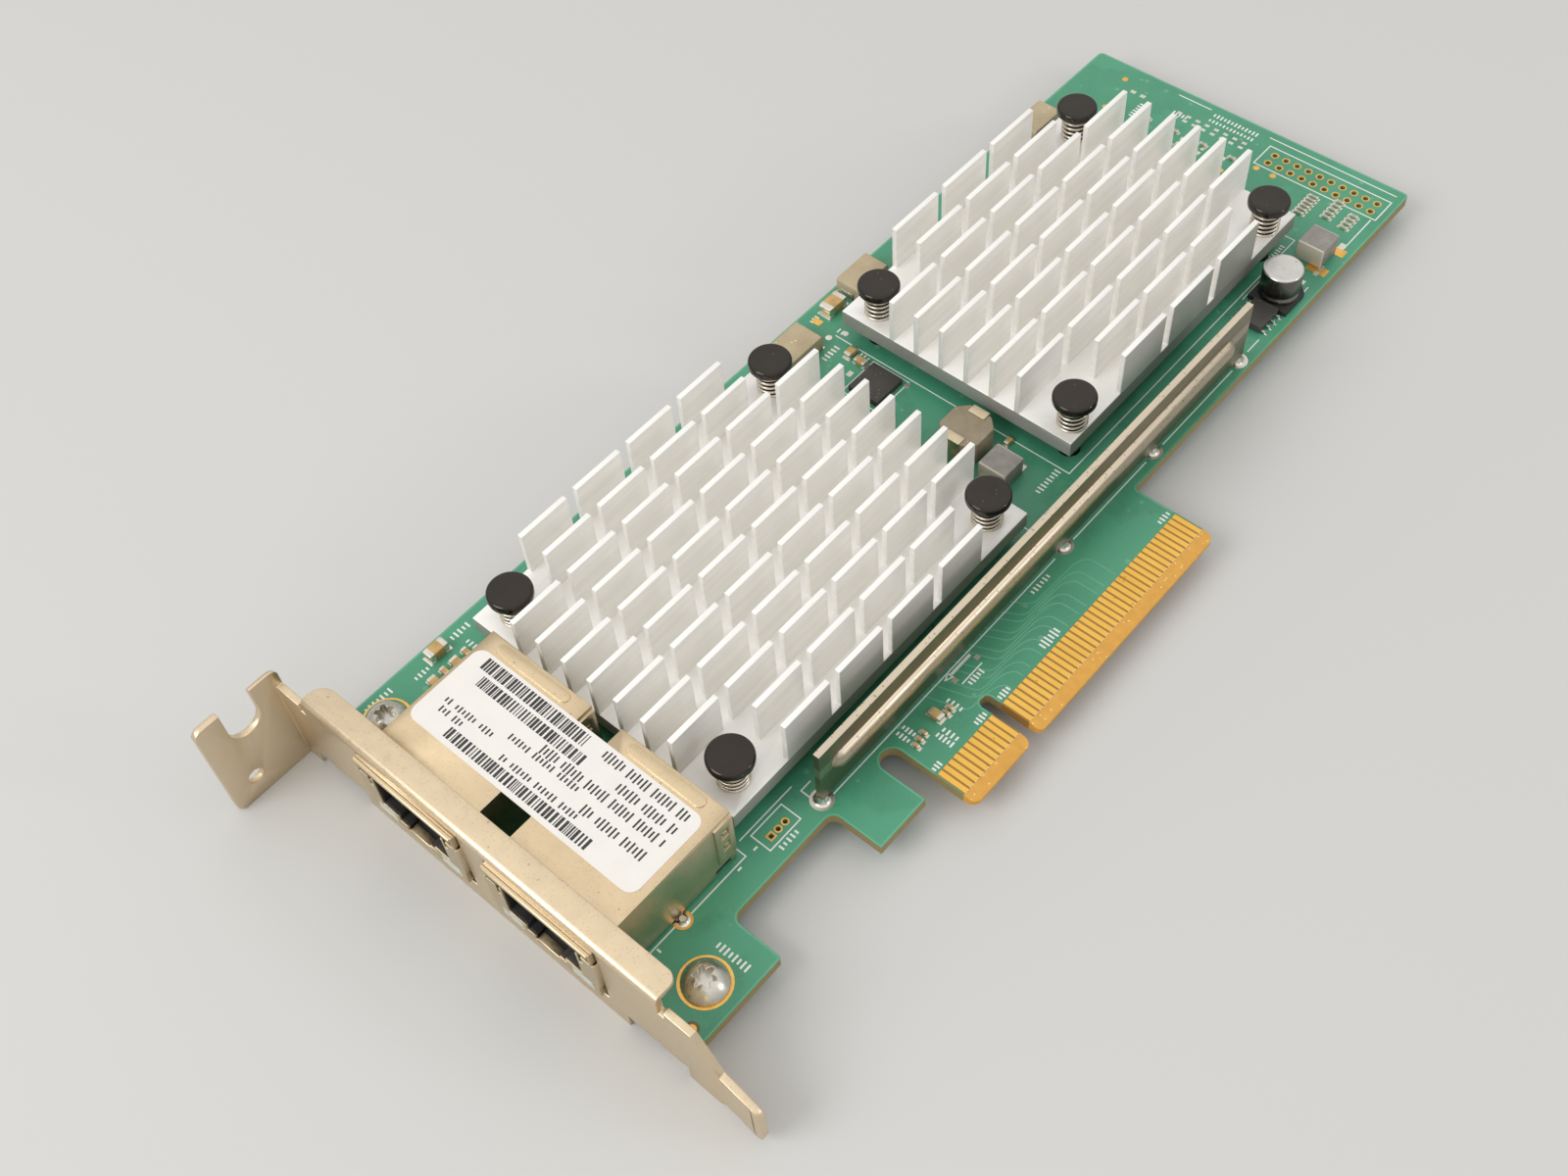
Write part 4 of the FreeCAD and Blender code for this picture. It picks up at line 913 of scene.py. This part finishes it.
# Solder-face print: frames of the processors and rows of strokes
underSilk = {"closed": [[(-6.4, 28.4), (19.2, 28.4), (19.2, 54.0), (-6.4, 54.0)],
                        [(62.3, 27.9), (87.9, 27.9), (87.9, 53.5), (62.3, 53.5)],
                        [(114.95, 13.85), (119.7, 13.85), (119.7, 34.9), (114.95, 34.9)],
                        [(-42.0, 17.4), (-24.2, 17.4), (-24.2, 56.6), (-42.0, 56.6)]],
             "open": [[(-10.9, 14.0), (35.4, 14.0)], [(38.5, 14.0), (55.9, 14.0)], [(59.1, 14.0), (77.0, 14.0)],
                      [(24.5, 60.0), (36.0, 60.0), (36.0, 64.5)], [(94.0, 30.0), (101.0, 30.0)]],
             "strokes": [((-3.0, 26.9), (3.0, 26.9), 1.0), ((66.0, 26.4), (72.0, 26.4), 1.0),
                         ((24.0, 40.0), (24.0, 34.0), 1.0), ((44.0, 60.0), (52.0, 60.0), 1.2),
                         ((96.0, 58.0), (104.0, 58.0), 1.2), ((22.2, 7.4), (25.9, 7.4), 1.3),
                         ((-0.4, 6.9), (1.2, 6.9), 0.85), ((47.7, 6.9), (50.2, 6.9), 0.85),
                         ((-33.8, 11.9), (-33.8, 7.0), 1.0), ((-20.0, 30.0), (-20.0, 24.0), 1.0)]}


# Silkscreen: a ribbon along each line and a slab for each stroke, between the print's two heights
def printedSilk(lines, below):
    foot, top = layer("silk", below)
    ribbons = [ribbon(path, silk["wide"], foot, top) for path in lines["open"]]
    ribbons += [ribbon(path, silk["wide"], foot, top, True) for path in lines["closed"]]
    bars = [strokeRow(start, end, tall, max(1, round(math.dist(start, end) / silk["pitch"])), silk["thin"])
            for start, end, tall in lines["strokes"]]
    return joined(ribbons + [slabs(np.concatenate(bars), foot, top)])


thinPiece("silkLines", printedSilk(silk, False), silkInk)
thinPiece("underSilkLines", printedSilk(underSilk, True), silkInk)

# Plating: rings round holes as (x, y, inner radius, outer radius), spots as (x, y, radius), bars as (x, y,
# sizes), and rows of spots on the solder face as (from x, to x, step, y, rise, turns, radius)
plating = {"rings": [(-38.1, 9.67, 2.93, 3.33), (-38.1, 64.4, 2.93, 3.33), (-18.23, 16.1, 0.34, 0.54),
                     (-16.96, 16.1, 0.34, 0.54)],
           "tailRows": (116.2, 118.2), "tailFirst": 15.4, "tailPitch": 1.97, "tailCount": 10,
           "tailRing": (0.44, 0.64), "jointIn": 0.9, "jointOut": 0.22, "footReach": 1.5,
           "tinSpots": [(46.2, 48.1, 0.5), (3.0, 66.2, 0.4), (46.4, 62.9, 0.5), (48.5, 61.5, 0.45)],
           "spots": [(-43.12, 7.14, 0.55), (114.1, 33.9, 0.5), (114.1, 31.0, 0.5), (110.4, 37.9, 0.45),
                     (112.0, 60.5, 0.5), (119.4, 61.8, 0.5), (108.4, 66.2, 0.4), (32.6, 66.4, 0.45),
                     (-2.0, 66.6, 0.4)],
           "bars": [(47.8, 66.3, 1.1, 1.5), (100.9, 15.2, 1.6, 3.2), (105.9, 15.2, 1.6, 3.2),
                    (-19.5, 16.54, 1.08, 0.2), (-19.5, 15.66, 1.08, 0.2), (-19.94, 16.1, 0.2, 0.7),
                    (-19.06, 16.1, 0.2, 0.7)],
           "underRows": [(26.0, 60.0, 3.4, 62.0, 2.2, 2, 0.5), (90.0, 112.0, 2.6, 22.5, 1.8, 3, 0.45)],
           "clearance": (-43.12, 7.14, 0.5, 0.92)}


def ringsSurface(rings, foot, top):
    return joined([repeatAt(*flatRing(inner, outer, foot, top), [(x, y, 0)]) for x, y, inner, outer in rings])


# Rings, discs and bars of one layer, between its two heights
def platedSurface(heights, rings, spots, bars=()):
    surfaces = [ringsSurface(rings, *heights)]
    surfaces += [repeatAt(*flatDisc(radius, *heights), [(x, y, 0)]) for x, y, radius in spots]
    return joined(surfaces + ([slabs(bars, *heights)] if bars else []))


# Joints through the board get a plated ring a little wider than the solder
jointRings = {"tabs": [], "feet": [], "below": []}
barY = (barLow[1] + barHigh[1]) / 2
for low, high in joints:
    size = max(high[:2] - low[:2]) / 2
    spot = (*((low + high) / 2)[:2], size * plating["jointIn"], size + plating["jointOut"])
    face = "below" if high[2] < 0 else "feet" if abs(spot[1] - barY) < plating["footReach"] else "tabs"
    jointRings[face].append(spot)
tailRings = [(x, plating["tailFirst"] + plating["tailPitch"] * i, *plating["tailRing"])
             for x in plating["tailRows"] for i in range(plating["tailCount"])]
cardRings = plating["rings"] + tailRings
underSpots = [(x, y + rise * (i % turns), radius)
              for start, end, step, y, rise, turns, radius in plating["underRows"]
              for i, x in enumerate(np.arange(start, end, step))]
topPlating = platedSurface(layer("gold"), cardRings + jointRings["tabs"], plating["spots"], plating["bars"])
underPlating = platedSurface(layer("gold", True), cardRings + jointRings["below"], underSpots)
thinPiece("goldPads", topPlating, goldFlat)
thinPiece("footRings", platedSurface(layer("gold"), jointRings["feet"], plating["tinSpots"]), tinFlat)
thinPiece("underGoldPads", underPlating, goldFlat)

# Small vias as raised rings of the mask: square fields on the solder face as (x, y, count, step), open in the
# middle, and loose rows on both faces
viaFields = {"fields": [(6.4, 41.2, 11, 2.1), (75.1, 40.7, 11, 2.1)], "openX": 3, "openY": 2,
             "ring": (0.13, 0.3), "sides": 10, "stagger": 0.45,
             "topRows": [(-8.0, 16.6, 9, 1.1), (20.0, 16.9, 12, 1.3), (38.6, 58.9, 6, 0.9),
                         (105.6, 52.0, 7, 1.1)],
             "belowRows": [(-16.0, 60.5, 24, 1.5), (24.0, 18.0, 22, 1.5), (92.0, 47.0, 14, 1.6),
                           (40.0, 32.0, 12, 1.4)]}


def rowSpots(rows):
    return [(x + i * step, y + viaFields["stagger"] * (i % 3), 0)
            for x, y, count, step in rows for i in range(count)]


def fieldSpots():
    spots = []
    for x, y, count, step in viaFields["fields"]:
        offsets = np.arange(count) - (count - 1) / 2
        spots += [(x + i * step, y + j * step, 0) for i in offsets for j in offsets
                  if abs(i) > viaFields["openX"] or abs(j) > viaFields["openY"]]
    return spots


for name, spots, below in (("topVias", rowSpots(viaFields["topRows"]), False),
                           ("underVias", fieldSpots() + rowSpots(viaFields["belowRows"]), True)):
    ring = flatRing(*viaFields["ring"], *layer("via", below), viaFields["sides"])
    thinPiece(name, repeatAt(*ring, spots), traceMask)

# Loose tinned pads as (x, y, sizes)
loosePads = [(11.5, 12.6, 0.75, 0.7), (16.0, 12.6, 0.75, 0.7), (36.6, 58.3, 0.8, 0.9), (38.4, 58.3, 0.8, 0.9),
             (107.2, 14.9, 1.3, 0.8), (101.5, 14.9, 1.2, 0.7), (97.4, 15.6, 0.8, 0.9), (100.1, 14.9, 0.9, 0.7),
             (117.6, 57.2, 0.7, 0.9), (117.6, 59.0, 0.7, 0.9), (108.0, 58.6, 0.8, 0.8), (110.0, 58.6, 0.8, 0.8),
             (44.2, 28.2, 1.3, 4.2), (38.8, 28.2, 1.3, 4.2), (42.9, 56.0, 1.0, 0.8)]
loosePads += [(x, 38.4 + 1.7 * i, 0.55, 0.8) for x in (116.6, 117.8) for i in range(8)]
loosePads += [(x, 39.0 + 1.9 * i, 0.8, 0.55) for x in (111.6, 112.9) for i in range(6)]
loosePads += [(42.8 + 0.7 * i, 60.7, 0.32, 1.0) for i in range(5)]
chipPad = {"share": 0.22, "least": 0.28, "past": 0.26, "wider": 0.12}


# Pads under both ends of the chips of one face, each a share of the chip's length and reaching past its end
def chipPads(nodeNames, below):
    pads = []
    for low, high in [box for name in nodeNames for box in solidBoxes(name) if (box[1][2] < 0) == below]:
        size, middle = high - low, (low + high) / 2
        axis = 0 if size[0] >= size[1] else 1
        reach = chipPad["share"] * size[axis] + chipPad["least"]
        for end in (-1, 1):
            spot, wide = [middle[0], middle[1]], [size[0] + chipPad["wider"], size[1] + chipPad["wider"]]
            spot[axis] += end * (size[axis] / 2 + chipPad["past"] - reach / 2)
            wide[axis] = reach
            pads.append((*spot, *wide))
    return pads


twoEnded = ["ceramic_capacitors", "chip_resistors"]
topPads = chipPads(twoEnded + ["moulded_capacitors"], False) + loosePads
thinPiece("tinPads", slabs(topPads, *layer("tin")), tinFlat)
thinPiece("underTinPads", slabs(chipPads(twoEnded, True), *layer("tin", True)), tinFlat)
thinPiece("clearanceRing", ringsSurface([plating["clearance"]], *layer("bare")), laminate)
print("board printed and plated")

# Traces under the mask, as faint raised lines: each lane leaves its contact, bends along the card and runs
# under the stiffener, and on the solder face lanes fan out from the processors
lanes = {"wide": 0.16, "ease": 0.9, "count": 12, "firstContact": 15.0, "pitch": 1.0, "pairGap": 0.30,
         "spread": 0.4, "start": 6.5, "turn": 8.3, "end": 15.2, "acrossCount": 10, "acrossFrom": 33.0,
         "acrossPitch": 1.1, "fanCount": 8, "fanFrom": (66.0, 61.4), "fanStep": (1.6, -0.36)}


def laneSurface(below):
    s = lanes
    paths = []
    for i in range(s["count"]):
        x = s["firstContact"] + (2 * i + i % 2 * s["spread"]) * s["pitch"]
        turn = s["turn"] + s["pairGap"] * i
        out = s["spread"] * i
        paths.append([(x, s["start"]), (x, turn - 0.9), (x - 1.6, turn), (x - 6.0 - out, turn + 0.35),
                      (x - 8.0 - out, s["end"])])
    if below:
        for i in range(s["acrossCount"]):
            y = s["acrossFrom"] + s["acrossPitch"] * i
            paths.append([(-7.0, y), (-12.0, y), (-15.0 - 0.3 * i, y + 2.0), (-22.5, y + 2.0)])
            paths.append([(20.0, y + 2.0), (27.0, y + 2.0), (33.0 + 0.3 * i, y - 1.5), (61.5, y - 1.5)])
        for i in range(s["fanCount"]):
            x, y = s["fanFrom"][0] + s["fanStep"][0] * i, s["fanFrom"][1] + s["fanStep"][1] * i
            paths.append([(x, 54.2), (x, y - 3.0), (x + 2.4, y), (x + 12.0, y), (x + 16.0, 67.6 - 0.7 * i)])
    return joined([ribbon(eased(path, s["ease"]), s["wide"], *layer("trace", below)) for path in paths])


thinPiece("topTraces", laneSurface(False), traceMask)
thinPiece("underTraces", laneSurface(True), traceMask)

# Ends of the contacts' plating ties, in pairs at the bevel line, in pale tin that paints in the glint of their
# cut edges
ties = {"apart": 0.24, "in": 0.02, "size": (0.16, 0.1), "top": 0.055}
tieSpots = [((low[0] + high[0]) / 2 + side * ties["apart"], low[1] + ties["in"], *ties["size"])
            for low, high in solidBoxes("edge_contacts") if high[2] > 0 for side in (-1, 1)]
thinPiece("contactTieGlints", slabs(tieSpots, boardTop, ties["top"]), tinFlat)
print("traces and ties laid")

# Mask pulled back from the cut edge: the board's outer rim is walked round once, moved inwards, and cut into
# open pieces that stop above the contacts
rim = {"inset": 0.17, "wide": 0.2, "stop": 6.4, "from": -2.0, "to": 52.0, "flat": 0.99, "near": 0.01}


# Points of the board's outer edge at a height, in order: its edges join a flat face to an upright one
def rimPoints(height):
    bm = mergedMesh(nodes["board"].data, clean["samePoint"])
    nextTo = {}
    for edge in bm.edges:
        flatness = [abs(face.normal.z) for face in edge.link_faces]
        level = all(abs(v.co.z / mm - height) < rim["near"] for v in edge.verts)
        if len(flatness) == 2 and level and min(flatness) < rim["flat"] < max(flatness):
            for a, b in (edge.verts, reversed(edge.verts[:])):
                nextTo.setdefault(a, []).append(b)
    loops, left = [], set(nextTo)
    while left:
        loop = [min(left, key=lambda v: (v.co.x, v.co.y))]
        left.discard(loop[0])
        while fresh := [v for v in nextTo[loop[-1]] if v in left]:
            loop.append(fresh[0])
            left.discard(fresh[0])
        loops.append(np.array([v.co[:2] for v in loop]) / mm)
    bm.free()
    return max(loops, key=lambda loop: np.ptp(loop[:, 0]))


def rimPaths(height):
    path = rimPoints(height)
    normal, cosine = bendsOf(path, True)
    area = (path[:, 0] * np.roll(path[:, 1], -1) - np.roll(path[:, 0], -1) * path[:, 1]).sum()
    path = path + normal * np.sign(area) * rim["inset"] / np.clip(cosine, 0.5, 1)
    cut = (path[:, 0] > rim["from"]) & (path[:, 0] < rim["to"]) & (path[:, 1] < rim["stop"])
    path, cut = np.roll(path, -int(np.argmax(cut)), 0), np.roll(cut, -int(np.argmax(cut)))
    pieces, piece = [], []
    for i in range(len(path) + 1):
        here, last = path[i % len(path)], path[i - 1]
        if i and cut[i % len(path)] != cut[i - 1]:
            piece.append(last + (here - last) * (rim["stop"] - last[1]) / (here[1] - last[1]))
        if not cut[i % len(path)]:
            piece.append(here)
        elif len(piece) > 1:
            pieces.append(np.array(piece))
            piece = []
    return pieces


for name, height, below in (("topRim", boardTop, False), ("underRim", boardFoot, True)):
    surface = joined([ribbon(path, rim["wide"], *layer("rim", below)) for path in rimPaths(height)])
    thinPiece(name, surface, traceMask)
print("board rims laid")

# Floor, a hair under the card so that the two don't touch
ground = {"reach": 3.0, "gap": 0.02, "colour": (0.60, 0.60, 0.59, 1), "roughness": 0.9}
floorZ = cadBox[0][2] - ground["gap"] * mm
corners = [(x * ground["reach"], y * ground["reach"], floorZ) for x, y in ((-1, -1), (1, -1), (1, 1), (-1, 1))]
floorMesh = bpy.data.meshes.new("floor")
floorMesh.from_pydata(corners, [], [(0, 1, 2, 3)])
floor = linked("floor", floorMesh)
floor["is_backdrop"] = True
floorPaint = startMaterial("floorPaint", Roughness=ground["roughness"], Base_Color=ground["colour"])[0]
floorMesh.materials.append(floorPaint)

# Soft room: brightest overhead and dimmer towards the horizon, and plain pale where the camera sees it
dome = {"overhead": 0.98, "horizon": 0.34, "brightFrom": 0.75, "background": 0.75,
        "tint": (1.0, 0.985, 0.96, 1)}
world = bpy.data.worlds.new("softRoom")
bpy.context.scene.world = world
world.use_nodes = True
sky = world.node_tree
background = sky.nodes["Background"]
background.inputs["Color"].default_value = dome["tint"]
upward = partsOf(put(sky, "ShaderNodeTexCoord").outputs["Generated"])["Z"]
glow = rangeOf(upward, 0.0, dome["brightFrom"], dome["horizon"], dome["overhead"])
seen = put(sky, "ShaderNodeLightPath").outputs["Is Camera Ray"]
level = put(sky, "ShaderNodeMix", {0: seen, 2: glow, 3: dome["background"]}, data_type="FLOAT")
feed(background, Strength=level.outputs[0])


# Matrix of a thing at a place, in metres, that looks along its minus Z, from its right, up and back directions
def standing(right, up, back, place):
    turn = np.eye(4)
    turn[:3, :3] = np.column_stack([right, up, back])
    turn[:3, 3] = place
    return Matrix(turn.tolist())


# Round soft lamps aimed at the middle of the card: place and size in metres, power in watts
lamps = {"keyLamp": {"place": (-0.54, 0.22, 0.50), "size": 0.45, "power": 2.2},
         "rimLamp": {"place": (0.30, -0.52, 0.30), "size": 0.14, "power": 0.35}}
target = np.array([(cadBox[0][0] + cadBox[1][0]) / 2, (cadBox[0][1] + cadBox[1][1]) / 2, 0])
for name, s in lamps.items():
    data = bpy.data.lights.new(name, "AREA")
    data.shape = "DISK"
    data.size = s["size"]
    data.energy = s["power"]
    back = np.array(s["place"]) - target
    back /= np.linalg.norm(back)
    side = np.cross((0, 0, 1), back)
    side /= np.linalg.norm(side)
    linked(name, data).matrix_world = standing(side, np.cross(back, side), back, s["place"])

# Camera: its place in mm, the directions of its right, down and ahead, its lens and sensor in mm, and the nearest
# thing it sees in metres
view = {"place": (-84.22, -56.77, 187.63), "right": (0.6562, -0.7523, -0.0577),
        "down": (-0.6373, -0.5117, -0.5762), "ahead": (0.404, 0.4149, -0.8153), "lens": 40.34, "sensor": 36.0,
        "nearest": 0.01}
cameraData = bpy.data.cameras.new("camera")
cameraData.lens = view["lens"]
cameraData.sensor_width = view["sensor"]
cameraData.clip_start = view["nearest"]
camera = linked("camera", cameraData)
camera.matrix_world = standing(view["right"], -np.array(view["down"]), -np.array(view["ahead"]),
                               np.array(view["place"]) * mm)
bpy.context.scene.camera = camera
bpy.context.scene.view_settings.view_transform = "Standard"

plainBox = lambda box: [[float(v) for v in corner] for corner in box]
{"cad": plainBox(cadBox), "visual": plainBox(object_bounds())}
print("scene ready")
